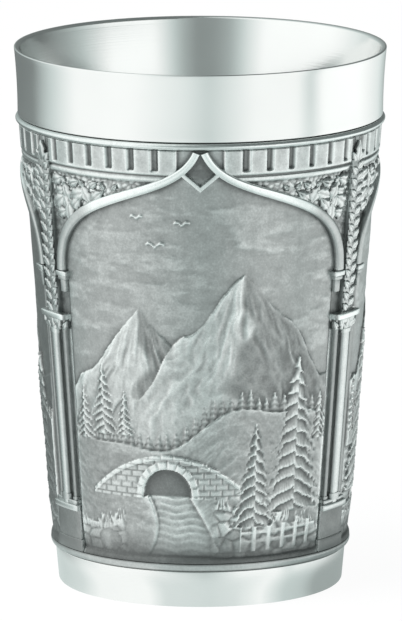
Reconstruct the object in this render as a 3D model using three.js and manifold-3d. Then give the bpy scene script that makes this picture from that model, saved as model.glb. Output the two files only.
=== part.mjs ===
// Relief pewter beaker: a turned cup dressed with three cast relief plates.
// Each plate is designed flat, as it is cast, and is then rolled round the tapered cup.
// Millimetres, +Z up. The origin is the centre of the foot, on the table.
import * as THREE from "three";
import { mergeVertices } from "three/addons/utils/BufferGeometryUtils.js";
import Module from "manifold-3d";

const wasm = await Module();
wasm.setup();

// The whole beaker
const HEIGHT = 110;
const RIM_RADIUS = 37.7;
const FOOT_RADIUS = 28.9;
const SOLDER_GAP = 0.12; // between soldered faces

// The turned cup and its lip band
const LIP_HEIGHT = 13.7;
const RIM_FLARE = 0.7; // the rim stands this far outside the lower edge of the lip band
const RIM_EDGE = 1.1; // thickness of the drinking edge
const LIP_PROUD = 0.8; // the lip band stands this far outside the plates
const CUP_WALL = 1.1;
const MOUTH_DROP = 8.3; // inside, the wall starts to open this far below the lip band
const BEVEL_HEIGHT = 3; // inside, the drinking edge opens more steeply over this height
const BEVEL_DEPTH = 1;
const THROAT_RISE = 3.2; // the opening has its corner this far above the lower edge of the lip band
const THROAT_PROUD = 0.35; // that corner stands this far inside the taper of the wall
const MOUTH_STRAIGHT = 0.85; // share of the way from the bevel to that corner that is straight

// The foot band and the base disc
const FOOT_HEIGHT = 7.7;
const FOOT_FLARE = 0.6; // the foot band widens this much from the table to its top
const FOOT_SET_BACK = 0.1; // the top of the foot band lies this far inside the plates
const FOOT_ROUNDING = 0.7;
const FLANGE_THICKNESS = 1.6; // inward flange that carries the cup and the base disc
const FLANGE_LEDGE = 1.8; // the flange reaches this far inside the cup wall
const BASE_THICKNESS = 1.5;
const BASE_RECESS = 0.8; // the underside of the base disc clears the table by this much

// The two bead rings
const BEAD_HEIGHT = 1.6;
const UPPER_BEAD_PROUD = 1.2;
const LOWER_BEAD_PROUD = 0.95;

// The relief plates
const PANELS = 3;
const PLATE_THICKNESS = 0.9;
const TONGUE_WIDTH = 1.2; // the tongue of a column fills the seam between two plates
const CLEARANCE = 0.4; // beside the arch and the columns

// The frieze of upright blocks, and the string course below it
const FRIEZE_HEIGHT = 5.3;
const FRIEZE_PROUD = 0.6;
const SILL_HEIGHT = 1;
const FIRST_BLOCK_EDGE = 4.3; // from the middle of the bay
const FIRST_BLOCK_WIDTH = 3.5;
const BLOCK_WIDTH = 3.3;
const SLOT_WIDTH = 1.12;
const LAST_BLOCK_MIN = 0.6; // the block beside the pinnacle is at least this wide
const STRING_HEIGHT = 1.5;
const STRING_PROUD = 0.5;

// The ogee arch
const ARCH_RISE = 27.1; // from the imposts to the upper edge of the plates
const ARCH_WIDTH = 2.1;
const ARCH_TIP_WIDTH = 1.5;
const ARCH_PROUD = 1.15;
const ARCH_OFFSET = 3.7; // from the middle of a column to the foot of the arch
const TIP_OFFSET = 0.7; // half the distance between the two tips
const DIAMOND_DROP = 3.4; // from the side corners of the diamond to its lower one
const DIAMOND_BAR = 1;
const DIAMOND_PROUD = 1.05;

// The shape of the ogee, in shares of its half span and of its rise
const HAUNCH = [1, 0.32]; // upright above the impost
const CROOK = [0.81, 0.48]; // bending in
const TURN = [0.64, 0.57]; // changing sides, where the moulding starts to narrow
const SWEEP = [0.36, 0.72]; // leaning
const SPIRE = [0.11, 0.745]; // and rising to the tip
const DIAMOND_CORNER = 0.87; // share of the line where the diamond meets it

// The clustered columns
const COLUMN_WIDTH = 9.6;
const PEDESTAL_HEIGHT = 8.4;
const PEDESTAL_PROUD = 0.85;
const RING_HEIGHT = 1.3; // the base ring, and the abacus of the capital
const RING_PROUD = 1.5;
const SHAFT_WIDTH = 2.5;
const SHAFT_PROUD = 1.2;
const COLONNETTE_WIDTH = 1.15;
const COLONNETTE_PROUD = 0.6;
const COLONNETTE_OFFSET = 3;
const CAPITAL_WIDTH = 8.2;
const CAPITAL_HEIGHT = 2.4; // the bell under the abacus
const NECK_HEIGHT = 9; // from the capital up to the imposts
const IMPOST_WIDTH = 3;
const IMPOST_HEIGHT = 1.5;
const IMPOST_PROUD = 1.3;
const IMPOST_OFFSET = 4.1;
const CORBEL_HEIGHT = 1.9; // the bell under an impost
const PINNACLE_WIDTH = 3.6;
const PINNACLE_PROUD = 0.9;
const PINNACLE_TIP_WIDTH = 2.2;

// The landscape, in layers from far to near
const FAR_PROUD = 0.25;
const MIDDLE_PROUD = 0.45;
const NEAR_PROUD = 0.65;
const FIR_PROUD = 0.9;

// A moulding has steep walls and a flat crown, which is this share of its width
const CROWN_SHARE = 0.75;

// Fineness
const TURN_FACETS = 56;
const PLATE_FACETS = 18;
const ARCH_STEPS = 16;
const COURSE_STEPS = 10;
const LINE_SAMPLES = 128; // along the line of the arch
const ROUND_FACETS = 4; // on a half-round

// Heights and radii that follow
const PLATE_BOTTOM = FOOT_HEIGHT + BEAD_HEIGHT;
const SHOULDER = HEIGHT - LIP_HEIGHT;
const PLATE_TOP = SHOULDER - BEAD_HEIGHT;
const CASTING_TOP = PLATE_TOP - SOLDER_GAP; // of the plates, arches and columns
const SPRING = PLATE_TOP - ARCH_RISE; // top of the imposts
const CAPITAL_TOP = SPRING - NECK_HEIGHT;
const LIP_RADIUS = RIM_RADIUS - RIM_FLARE;
const FOOT_TOP_RADIUS = FOOT_RADIUS + FOOT_FLARE;
const GROUND_TOP = LIP_RADIUS - LIP_PROUD;
const GROUND_BOTTOM = FOOT_TOP_RADIUS + FOOT_SET_BACK;
const GROUND_SLOPE = (GROUND_TOP - GROUND_BOTTOM) / (PLATE_TOP - PLATE_BOTTOM);
const MIDDLE_RADIUS = (GROUND_TOP + GROUND_BOTTOM) / 2;
const PANEL_ANGLE = (2 * Math.PI) / PANELS;
const PANEL_HALF = (PANEL_ANGLE / 2) * MIDDLE_RADIUS; // half a bay, measured flat
const FRIEZE_END = PANEL_HALF - PINNACLE_WIDTH / 2 - CLEARANCE;
const FIELD_HALF = PANEL_HALF - COLUMN_WIDTH / 2 - CLEARANCE;
const FIELD_BOTTOM = PLATE_BOTTOM + CLEARANCE;
const FIELD_HEIGHT = SPRING - FIELD_BOTTOM;

// Radius of the plates' ground, and of the cup behind it, at a height
const ground = (z) => GROUND_BOTTOM + GROUND_SLOPE * (z - PLATE_BOTTOM);
const plateBack = (z) => ground(z) - PLATE_THICKNESS;
const cupOutside = (z) => plateBack(z) - SOLDER_GAP;
const cupInside = (z) => cupOutside(z) - CUP_WALL;

// Finishes
const polished = new THREE.MeshStandardMaterial({ color: 0xd6dcda, roughness: 0.18, metalness: 1 });
const bright = new THREE.MeshStandardMaterial({ color: 0xc6cccb, roughness: 0.3, metalness: 1 });
const antique = new THREE.MeshStandardMaterial({ color: 0x949c9b, roughness: 0.45, metalness: 1 });

// A closed mesh with one vertex at each corner.
function welded(geometry) {
  geometry.deleteAttribute("normal");
  geometry.deleteAttribute("uv");
  return mergeVertices(geometry, 1e-4);
}

function solidOf(geometry) {
  const closed = welded(geometry);
  const vertProperties = new Float32Array(closed.attributes.position.array);
  const triVerts = new Uint32Array(closed.index.array);
  return new wasm.Manifold(new wasm.Mesh({ numProp: 3, vertProperties, triVerts }));
}

// One casting made of several shapes that overlap, less what a cutter takes away.
function joined(geometries, cutter) {
  const whole = geometries.map(solidOf).reduce((sum, solid) => sum.add(solid));
  const mesh = (cutter ? whole.subtract(solidOf(cutter)) : whole).getMesh();
  const result = new THREE.BufferGeometry();
  result.setAttribute("position", new THREE.BufferAttribute(mesh.vertProperties, 3));
  result.setIndex(new THREE.BufferAttribute(mesh.triVerts, 1));
  result.computeVertexNormals();
  return result;
}

// Rolls flat work round the cup: x runs along the plate, y is the height, z stands out of the ground.
function rolled(geometry) {
  const place = geometry.attributes.position;
  for (let i = 0; i < place.count; i++) {
    const angle = place.getX(i) / MIDDLE_RADIUS;
    const height = place.getY(i);
    const radius = ground(height) + place.getZ(i);
    place.setXYZ(i, radius * Math.sin(angle), -radius * Math.cos(angle), height);
  }
  return geometry;
}

// A flat block between two edges, two heights and two levels, with facets along x for rolling.
function block(left, right, low, high, back, front, facets = 1) {
  const geometry = new THREE.BoxGeometry(right - left, high - low, front - back, facets, 1, 1);
  return geometry.translate((left + right) / 2, (low + high) / 2, (back + front) / 2);
}

// A block whose upper edge follows a line y = top(x).
function ridge(left, right, low, top, back, front, facets) {
  const geometry = block(left, right, -1, 1, back, front, facets);
  const place = geometry.attributes.position;
  for (let i = 0; i < place.count; i++) {
    place.setY(i, place.getY(i) < 0 ? low : top(place.getX(i)));
  }
  return geometry;
}

// A block whose lower edge has another width and stands out otherwise than its upper edge.
function tapered(middle, low, high, lower, upper) {
  const geometry = block(-1, 1, -1, 1, -1, 1, 2);
  const place = geometry.attributes.position;
  for (let i = 0; i < place.count; i++) {
    const isLow = place.getY(i) < 0;
    const isBack = place.getZ(i) < 0;
    const edge = isLow ? lower : upper;
    const x = middle + (place.getX(i) * edge.width) / 2;
    place.setXYZ(i, x, isLow ? low : high, isBack ? SOLDER_GAP : edge.proud);
  }
  return geometry;
}

// A half-round section: x across, y out of the ground, standing on a flat back.
function halfRound(width, back, proud) {
  const base = Math.max(back, 0);
  const points = [];
  for (let i = 0; i <= ROUND_FACETS; i++) {
    const turn = (Math.PI * i) / ROUND_FACETS;
    const out = base + (proud - base) * Math.sin(turn);
    points.push(new THREE.Vector2((width / 2) * Math.cos(turn), out));
  }
  if (back < base) {
    points.push(new THREE.Vector2(-width / 2, back), new THREE.Vector2(width / 2, back));
  }
  return points;
}

// A section with steep walls and a flat crown: x across, y out of the ground, standing on a flat back.
function flatCrown(width, back, proud) {
  const foot = width / 2;
  const crown = CROWN_SHARE * foot;
  const corners = [[foot, back], [crown, proud], [-crown, proud], [-foot, back]];
  return corners.map(([x, y]) => new THREE.Vector2(x, y));
}

// An upright rod with a flat crown.
function rod(middle, width, low, high, proud) {
  const section = new THREE.Shape(flatCrown(width, SOLDER_GAP, proud));
  const geometry = new THREE.ExtrudeGeometry(section, { depth: high - low, bevelEnabled: false });
  return geometry.rotateX(Math.PI / 2).translate(middle, high, 0);
}

// A moulding of one section along a flat line.
function moulding(line, section, steps) {
  const points = section.map((p) => new THREE.Vector2(-p.y, p.x));
  return new THREE.ExtrudeGeometry(new THREE.Shape(points), { steps, extrudePath: line });
}

// Narrows a moulding from the middle of its line to a share of its width at the end.
function narrowed(geometry, line, share) {
  const places = Array.from({ length: LINE_SAMPLES + 1 }, (_, i) => i / LINE_SAMPLES);
  const samples = places.map((t) => line.getPoint(t));
  const place = geometry.attributes.position;
  for (let i = 0; i < place.count; i++) {
    const x = place.getX(i);
    const y = place.getY(i);
    const distances = samples.map((p) => Math.hypot(p.x - x, p.y - y));
    const nearest = distances.indexOf(Math.min(...distances));
    const width = 1 - (1 - share) * Math.max(0, 2 * places[nearest] - 1);
    const centre = samples[nearest];
    place.setXY(i, centre.x + (x - centre.x) * width, centre.y + (y - centre.y) * width);
  }
  return geometry;
}

// A turned piece from its closed section, whose points are [radius, height].
function turned(section) {
  const points = section.map(([radius, height]) => new THREE.Vector2(radius, height));
  return welded(new THREE.LatheGeometry(points, TURN_FACETS).rotateX(Math.PI / 2));
}

// Points [radius, height] of a curve between two others, bent towards a corner.
function flare(from, corner, to, steps) {
  const ends = [from, corner, to].map(([radius, height]) => new THREE.Vector2(radius, height));
  return new THREE.QuadraticBezierCurve(...ends).getPoints(steps).map((p) => [p.x, p.y]);
}

// The cup: a tapered wall that opens into the lip band, without a bottom.
function cupBody() {
  const low = FLANGE_THICKNESS + SOLDER_GAP;
  const mouth = SHOULDER - MOUTH_DROP;
  const round = RIM_EDGE / 2;
  const edge = [];
  for (let i = 1; i < ROUND_FACETS; i++) {
    const turn = (Math.PI * i) / ROUND_FACETS;
    edge.push([RIM_RADIUS - round + round * Math.cos(turn), HEIGHT - round + round * Math.sin(turn)]);
  }
  const outside = flare(
    [LIP_RADIUS, SHOULDER],
    [LIP_RADIUS, SHOULDER + LIP_HEIGHT / 2],
    [RIM_RADIUS, HEIGHT - round],
    3,
  );
  const rim = new THREE.Vector2(RIM_RADIUS - RIM_EDGE, HEIGHT - round);
  const bevel = new THREE.Vector2(rim.x - BEVEL_DEPTH, rim.y - BEVEL_HEIGHT);
  const corner = SHOULDER + THROAT_RISE;
  const throat = new THREE.Vector2(cupInside(corner) - THROAT_PROUD, corner);
  const bend = bevel.clone().lerp(throat, MOUTH_STRAIGHT);
  const inside = flare(bend.toArray(), throat.toArray(), [cupInside(mouth), mouth], 3);
  const bottom = [cupInside(low), low];
  return turned([
    bottom,
    [cupOutside(low), low],
    [cupOutside(SHOULDER), SHOULDER],
    ...outside,
    ...edge,
    rim.toArray(),
    bevel.toArray(),
    ...inside,
    bottom,
  ]);
}

// The foot band: a tapered ring with an inward flange that the beaker stands on.
function footBand() {
  const top = FOOT_HEIGHT - SOLDER_GAP;
  const bore = cupInside(FLANGE_THICKNESS) - FLANGE_LEDGE;
  const rounding = flare(
    [FOOT_RADIUS - FOOT_ROUNDING, 0],
    [FOOT_RADIUS, 0],
    [FOOT_RADIUS, FOOT_ROUNDING],
    2,
  );
  return turned([
    [bore, FLANGE_THICKNESS],
    [bore, 0],
    ...rounding,
    [FOOT_TOP_RADIUS, top],
    [plateBack(top), top],
    [plateBack(FLANGE_THICKNESS), FLANGE_THICKNESS],
    [bore, FLANGE_THICKNESS],
  ]);
}

// The base disc: its rim rests on the flange, and its boss registers in the flange's bore.
function baseDisc() {
  const rest = FLANGE_THICKNESS + SOLDER_GAP;
  const rim = cupInside(rest) - SOLDER_GAP;
  const boss = cupInside(FLANGE_THICKNESS) - FLANGE_LEDGE - SOLDER_GAP;
  return turned([
    [0, BASE_RECESS],
    [boss, BASE_RECESS],
    [boss, rest],
    [rim, rest],
    [rim, rest + BASE_THICKNESS],
    [0, rest + BASE_THICKNESS],
  ]);
}

// A bead ring between two heights: half-round outside, on the cup's taper inside.
function beadRing(low, high, proud) {
  const middle = (low + high) / 2;
  const round = halfRound(high - low, 0, proud).map((p) => [ground(middle) + p.y, middle - p.x]);
  const start = [plateBack(low), low];
  return turned([start, ...round, [plateBack(high), high], start]);
}

// Centre line of one arm of the arch, on the left (-1) or the right (1): upright on its impost,
// then turning over to the tip.
function archLine(side) {
  const foot = SPRING + SOLDER_GAP;
  const tip = CASTING_TOP - ARCH_TIP_WIDTH / 4;
  const span = PANEL_HALF - ARCH_OFFSET;
  const at = ([across, up]) => new THREE.Vector3(side * span * across, foot + (tip - foot) * up, 0);
  const end = new THREE.Vector3(side * TIP_OFFSET, tip, 0);
  const line = new THREE.CurvePath();
  line.add(new THREE.CubicBezierCurve3(at([1, 0]), at(HAUNCH), at(CROOK), at(TURN)));
  line.add(new THREE.CubicBezierCurve3(at(TURN), at(SWEEP), at(SPIRE), end));
  return line;
}

// Points on the outer edge of the arch's right arm, a clearance outside the moulding, from foot to tip.
function archEdge() {
  const line = archLine(1);
  const reach = ARCH_WIDTH / 2 + CLEARANCE;
  return Array.from({ length: LINE_SAMPLES + 1 }, (_, i) => {
    const point = line.getPoint(i / LINE_SAMPLES);
    const along = line.getTangent(i / LINE_SAMPLES);
    return new THREE.Vector2(point.x + reach * along.y, point.y - reach * along.x);
  });
}

// All that lies below the outer edge of the arch, down to a height: it is kept clear of the frieze.
function archOpening(low) {
  const edge = archEdge();
  const half = Math.max(...edge.filter((p) => p.y > low).map((p) => p.x));
  const top = (x) => Math.max(low, ...edge.filter((p) => p.x >= Math.abs(x)).map((p) => p.y));
  return ridge(-half, half, low - CLEARANCE, top, -PLATE_THICKNESS, FRIEZE_PROUD + CLEARANCE, PLATE_FACETS);
}

// The frieze: upright blocks, the sill below them and the string course, which all end against the arch.
function frieze() {
  const back = -PLATE_THICKNESS / 2;
  const low = PLATE_TOP - FRIEZE_HEIGHT;
  const blockLow = low + SILL_HEIGHT / 2;
  const courseMiddle = low - STRING_HEIGHT / 2;
  const course = new THREE.LineCurve3(
    new THREE.Vector3(-FRIEZE_END, courseMiddle, 0),
    new THREE.Vector3(FRIEZE_END, courseMiddle, 0),
  );
  const pieces = [
    block(-FRIEZE_END, FRIEZE_END, low, low + SILL_HEIGHT, back, FRIEZE_PROUD, COURSE_STEPS),
    moulding(course, halfRound(STRING_HEIGHT, back, STRING_PROUD), COURSE_STEPS),
  ];
  const pair = (from, to) => {
    pieces.push(block(from, to, blockLow, CASTING_TOP, back, FRIEZE_PROUD));
    pieces.push(block(-to, -from, blockLow, CASTING_TOP, back, FRIEZE_PROUD));
  };
  let edge = FIRST_BLOCK_EDGE;
  let width = FIRST_BLOCK_WIDTH;
  while (edge + width + SLOT_WIDTH + LAST_BLOCK_MIN < FRIEZE_END) {
    pair(edge, edge + width);
    edge += width + SLOT_WIDTH;
    width = BLOCK_WIDTH;
  }
  pair(edge, FRIEZE_END);
  return joined(pieces.map(rolled), rolled(archOpening(low - STRING_HEIGHT)));
}

// The landscape is drawn in shares of the picture field: across from -1 to 1, and up from 0 to 1.
const across = (share) => share * FIELD_HALF;
const up = (share) => FIELD_BOTTOM + share * FIELD_HEIGHT;

// Outlines of the far mountains, the middle hills and the near bank.
const mountainLine = (peaks) => (s) =>
  Math.max(0.62 + 0.02 * Math.sin(9 * s), ...peaks.map(([at, top]) => top - 0.58 * Math.abs(s - at)));
const hillLine = (shift) => (s) => 0.47 + 0.08 * Math.sin(3.2 * s + shift) + 0.02 * Math.sin(8.6 * s);
const bankLine = (shift) => (s) => 0.15 + 0.05 * Math.cos(2.6 * s + shift) + 0.013 * Math.sin(10.8 * s);

// A fir tree: a trunk and tiers of branches that narrow to the top.
function fir(at, foot, height) {
  const tiers = 4;
  const tall = height * FIELD_HEIGHT;
  const reach = tall * 0.19;
  const trunk = tall * 0.03;
  const bough = tall * 0.12; // height of the lowest branches
  const step = (tall - bough) / tiers;
  const half = [[trunk, 0], [trunk, bough]];
  for (let i = 0; i < tiers; i++) {
    const tier = reach * (1 - i / (tiers + 0.6));
    half.push([tier, bough + i * step], [tier * 0.5, bough + (i + 0.9) * step]);
  }
  const left = half.map(([x, y]) => [-x, y]).reverse();
  const outline = [...half, [0, tall], ...left].map(([x, y]) => new THREE.Vector2(x, y));
  const depth = FIR_PROUD + PLATE_THICKNESS / 2;
  const geometry = new THREE.ExtrudeGeometry(new THREE.Shape(outline), { depth, bevelEnabled: false });
  return geometry.translate(across(at), up(foot), -PLATE_THICKNESS / 2);
}

// A relief plate: the ground, the frieze and a landscape in low relief.
function reliefPlate(view) {
  const half = PANEL_HALF - TONGUE_WIDTH / 2 - SOLDER_GAP;
  const layer = (low, line, proud) => {
    const top = (x) => up(line(x / FIELD_HALF));
    return ridge(-FIELD_HALF, FIELD_HALF, up(low), top, -PLATE_THICKNESS / 2, proud, PLATE_FACETS);
  };
  const pieces = [
    block(-half, half, PLATE_BOTTOM, CASTING_TOP, -PLATE_THICKNESS, 0, PLATE_FACETS),
    layer(0.3, mountainLine(view.peaks), FAR_PROUD),
    layer(0.05, hillLine(view.shift), MIDDLE_PROUD),
    layer(0, bankLine(view.shift), NEAR_PROUD),
    ...view.firs.map(([at, foot, height]) => fir(at, foot, height)),
  ];
  return joined([...pieces.map(rolled), frieze()]);
}

// The arch: two ogee arms whose tips nearly meet, and a V below them that closes a diamond.
function archMoulding() {
  const corner = archLine(1).getPoint(DIAMOND_CORNER);
  const bottom = corner.y - DIAMOND_DROP;
  const overrun = DIAMOND_BAR / 4; // the two bars of the V cross at its point
  const pieces = [];
  for (const side of [-1, 1]) {
    const bar = new THREE.LineCurve3(
      new THREE.Vector3(-side * overrun, bottom - overrun, 0),
      new THREE.Vector3(side * corner.x, corner.y, 0),
    );
    const arm = moulding(archLine(side), flatCrown(ARCH_WIDTH, SOLDER_GAP, ARCH_PROUD), ARCH_STEPS);
    pieces.push(narrowed(arm, archLine(side), ARCH_TIP_WIDTH / ARCH_WIDTH));
    pieces.push(moulding(bar, flatCrown(DIAMOND_BAR, SOLDER_GAP, DIAMOND_PROUD), 1));
  }
  return joined(pieces.map(rolled));
}

// A clustered column: a tongue in the seam, a pedestal, a main shaft between two colonnettes, a capital,
// the imposts of the arches on both sides, and a pinnacle up to the bead ring.
function clusteredColumn() {
  const ringBottom = PLATE_BOTTOM + PEDESTAL_HEIGHT;
  const shaftBottom = ringBottom + RING_HEIGHT / 2;
  const abacusBottom = CAPITAL_TOP - RING_HEIGHT;
  const shaftTop = abacusBottom + RING_HEIGHT / 2;
  const impostBottom = SPRING - IMPOST_HEIGHT;
  const impostMiddle = SPRING - IMPOST_HEIGHT / 2;
  const tongue = TONGUE_WIDTH / 2;
  const tongueFront = PINNACLE_PROUD / 2;
  const wide = (low, high, proud) =>
    block(-COLUMN_WIDTH / 2, COLUMN_WIDTH / 2, low, high, SOLDER_GAP, proud, 4);
  const shaft = { width: SHAFT_WIDTH, proud: SHAFT_PROUD };
  const capital = { width: CAPITAL_WIDTH, proud: RING_PROUD };
  const pinnacleFoot = { width: PINNACLE_WIDTH, proud: PINNACLE_PROUD };
  const pinnacleTip = { width: PINNACLE_TIP_WIDTH, proud: PINNACLE_PROUD };
  const colonnette = { width: COLONNETTE_WIDTH, proud: COLONNETTE_PROUD };
  const impost = { width: IMPOST_WIDTH, proud: IMPOST_PROUD };
  const pieces = [
    block(-tongue, tongue, PLATE_BOTTOM, CASTING_TOP, -PLATE_THICKNESS, tongueFront),
    wide(PLATE_BOTTOM, ringBottom + RING_HEIGHT / 2, PEDESTAL_PROUD),
    wide(ringBottom, ringBottom + RING_HEIGHT, RING_PROUD),
    rod(0, SHAFT_WIDTH, shaftBottom, shaftTop, SHAFT_PROUD),
    tapered(0, abacusBottom - CAPITAL_HEIGHT, shaftTop, shaft, capital),
    wide(abacusBottom, CAPITAL_TOP, RING_PROUD),
    tapered(0, shaftTop, CASTING_TOP, pinnacleFoot, pinnacleTip),
  ];
  for (const side of [-1, 1]) {
    const foot = side * COLONNETTE_OFFSET;
    const head = side * IMPOST_OFFSET;
    pieces.push(rod(foot, COLONNETTE_WIDTH, shaftBottom, impostMiddle, COLONNETTE_PROUD));
    pieces.push(tapered(foot, impostBottom - CORBEL_HEIGHT, impostMiddle, colonnette, colonnette));
    pieces.push(tapered(head, impostBottom - CORBEL_HEIGHT / 2, impostBottom, colonnette, impost));
    pieces.push(tapered(head, impostBottom, SPRING, impost, impost));
  }
  return joined(pieces.map(rolled));
}

const beaker = new THREE.Group();

function add(name, geometry, material, turn = 0) {
  const mesh = new THREE.Mesh(geometry, material);
  mesh.name = name;
  mesh.rotation.z = turn;
  beaker.add(mesh);
}

add("cup_body", cupBody(), polished);
add("base_disc", baseDisc(), polished);
add("foot_band", footBand(), polished);
add("upper_bead_ring", beadRing(PLATE_TOP, SHOULDER - SOLDER_GAP, UPPER_BEAD_PROUD), bright);
add("lower_bead_ring", beadRing(FOOT_HEIGHT, PLATE_BOTTOM - SOLDER_GAP, LOWER_BEAD_PROUD), bright);

// One view for each plate: its peaks as [place, top], and its firs as [place, foot, height].
const views = [
  {
    shift: 0,
    peaks: [[0.3, 1.03], [-0.42, 0.9]],
    firs: [[0.72, 0.12, 0.6], [0.4, 0.09, 0.4], [-0.72, 0.42, 0.27]],
  },
  {
    shift: -0.7,
    peaks: [[-0.2, 1], [0.5, 0.86]],
    firs: [[-0.7, 0.12, 0.62], [-0.36, 0.08, 0.38], [0.66, 0.4, 0.28]],
  },
  {
    shift: 0.6,
    peaks: [[0.05, 1.05], [-0.6, 0.84]],
    firs: [[-0.76, 0.1, 0.46], [0.76, 0.12, 0.54], [0.44, 0.1, 0.33]],
  },
];
for (let i = 0; i < PANELS; i++) {
  const turn = i * PANEL_ANGLE;
  add(`relief_plate_${i + 1}`, reliefPlate(views[i % views.length]), antique, turn);
  add(`arch_moulding_${i + 1}`, archMoulding(), bright, turn);
  add(`clustered_column_${i + 1}`, clusteredColumn(), bright, turn + PANEL_ANGLE / 2);
}

export default beaker;
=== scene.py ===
# %% [markdown]
# # A relief pewter beaker
#
# This lesson dresses a beaker that already exists as plain solids. The solids hold every real
# size, so each new piece is built round the same axis and takes its heights and radii from the
# box of the solid it replaces. On the real beaker a turned, polished cup is wrapped in three cast
# relief plates, whose hollows hold a dark patina and whose high points are rubbed bright.

# %% Load the solids
import math
import bmesh
import bpy
import numpy as np
from mathutils import Matrix, Vector


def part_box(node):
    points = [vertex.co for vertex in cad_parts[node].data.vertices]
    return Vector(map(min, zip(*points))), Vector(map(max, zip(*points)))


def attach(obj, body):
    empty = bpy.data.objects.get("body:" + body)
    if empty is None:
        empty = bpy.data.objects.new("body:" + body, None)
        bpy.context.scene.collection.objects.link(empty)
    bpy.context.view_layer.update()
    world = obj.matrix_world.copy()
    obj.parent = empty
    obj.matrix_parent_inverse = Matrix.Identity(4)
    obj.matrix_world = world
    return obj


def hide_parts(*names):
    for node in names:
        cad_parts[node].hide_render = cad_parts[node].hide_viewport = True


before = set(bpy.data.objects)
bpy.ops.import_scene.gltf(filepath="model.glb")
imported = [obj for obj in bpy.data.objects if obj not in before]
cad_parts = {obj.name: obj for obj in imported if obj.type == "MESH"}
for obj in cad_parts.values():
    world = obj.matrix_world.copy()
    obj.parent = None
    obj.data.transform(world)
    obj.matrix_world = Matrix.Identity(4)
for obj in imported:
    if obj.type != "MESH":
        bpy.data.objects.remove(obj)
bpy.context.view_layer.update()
scene = bpy.context.scene
scene.view_settings.view_transform = "Standard"

# %% [markdown]
# ## Sizes
#
# Blender works in metres, but a beaker is easier to think about in millimetres. All sizes below
# are in millimetres, and they become metres only when a mesh is finished. The main heights and
# radii could be typed in, but they are read from the boxes of the solids, so that nothing drifts.

# %% Heights and radii read from the solids
MM = 0.001


def box_mm(node):
    low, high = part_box(node)
    return low / MM, high / MM


cup_low, cup_high = box_mm("cup_body")
foot_high = box_mm("foot_band")[1]
disc_low, disc_high = box_mm("base_disc")
upper_bead_low, upper_bead_high = box_mm("upper_bead_ring")
lower_bead_low, lower_bead_high = box_mm("lower_bead_ring")
plate_low, plate_high = box_mm("relief_plate_1")
HEIGHT = cup_high.z
RIM_RADIUS = cup_high.x
FOOT_TOP_RADIUS = foot_high.x
PLATE_BOTTOM = plate_low.z
PLATE_TOP = plate_high.z
print("height:", round(HEIGHT, 1), "mm, rim:", round(2 * RIM_RADIUS, 1), "mm across")

# %% [markdown]
# ## The wall
#
# Plates, arches and columns are soldered to a wall that narrows evenly towards the foot. That
# wall is a cone, so one function gives its radius at any height, and every piece asks it where
# the ground lies. A thin gap stands for the solder between two pieces.

# %% The wall as a cone
GAP = 0.12
RIM_FLARE = 0.7
LIP_PROUD = 0.8
FOOT_FLARE = 0.6
FOOT_STEP = 0.1
PLATE_THICKNESS = 0.9
CUP_WALL = 1.1
BAYS = 3
LIP_RADIUS = RIM_RADIUS - RIM_FLARE
FOOT_RADIUS = FOOT_TOP_RADIUS - FOOT_FLARE
SHOULDER = upper_bead_high.z + GAP
GROUND_BOTTOM = FOOT_TOP_RADIUS + FOOT_STEP
GROUND_TOP = LIP_RADIUS - LIP_PROUD
MIDDLE_RADIUS = (GROUND_TOP + GROUND_BOTTOM) / 2
BAY_HALF = math.pi / BAYS * MIDDLE_RADIUS


def ground(up):
    share = (up - PLATE_BOTTOM) / (PLATE_TOP + GAP - PLATE_BOTTOM)
    return GROUND_BOTTOM + (GROUND_TOP - GROUND_BOTTOM) * share


def cup_inside(up):
    return ground(up) - PLATE_THICKNESS - GAP - CUP_WALL


print("plates from", round(PLATE_BOTTOM, 1), "to", round(PLATE_TOP, 1), "mm up")
print("half a bay:", round(BAY_HALF, 1), "mm")

# %% [markdown]
# ## The camera
#
# The camera comes first, because every later choice is judged through it. The ellipses of the rim
# and the foot in the photograph are flat and almost alike in tilt, which means a long lens from
# far away, eleven degrees above the horizon. A small shift places the beaker in the frame without
# turning the camera.

# %% Camera
CAMERA_DISTANCE = 1.8
CAMERA_ELEVATION = math.radians(11)
CAMERA_LENS = 513.2
SENSOR_WIDTH = 36
CAMERA_SHIFT = (0.0011, 0.0026)
FARTHEST = 50

camera_data = bpy.data.cameras.new("camera")
camera_data.lens = CAMERA_LENS
camera_data.sensor_width = SENSOR_WIDTH
camera_data.shift_x, camera_data.shift_y = CAMERA_SHIFT
camera_data.clip_end = FARTHEST
camera = bpy.data.objects.new("camera", camera_data)
scene.collection.objects.link(camera)
target = Vector((0, 0, HEIGHT * MM / 2))
back = Vector((0, -math.cos(CAMERA_ELEVATION), math.sin(CAMERA_ELEVATION)))
camera.location = target + back * CAMERA_DISTANCE
camera.rotation_euler = (-back).to_track_quat("-Z", "Y").to_euler()
scene.camera = camera
print("camera at", [round(c, 3) for c in camera.location])

# %% [markdown]
# ## A tent of light
#
# Polished metal has no colour of its own to speak of: it shows the room. The room here is the
# world background, a white tent with a few soft grey strips. White and grey boards could be set
# up round the beaker, but a few numbers are easier to tune: each strip has a compass direction, a
# height above the horizon and a brightness.

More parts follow.
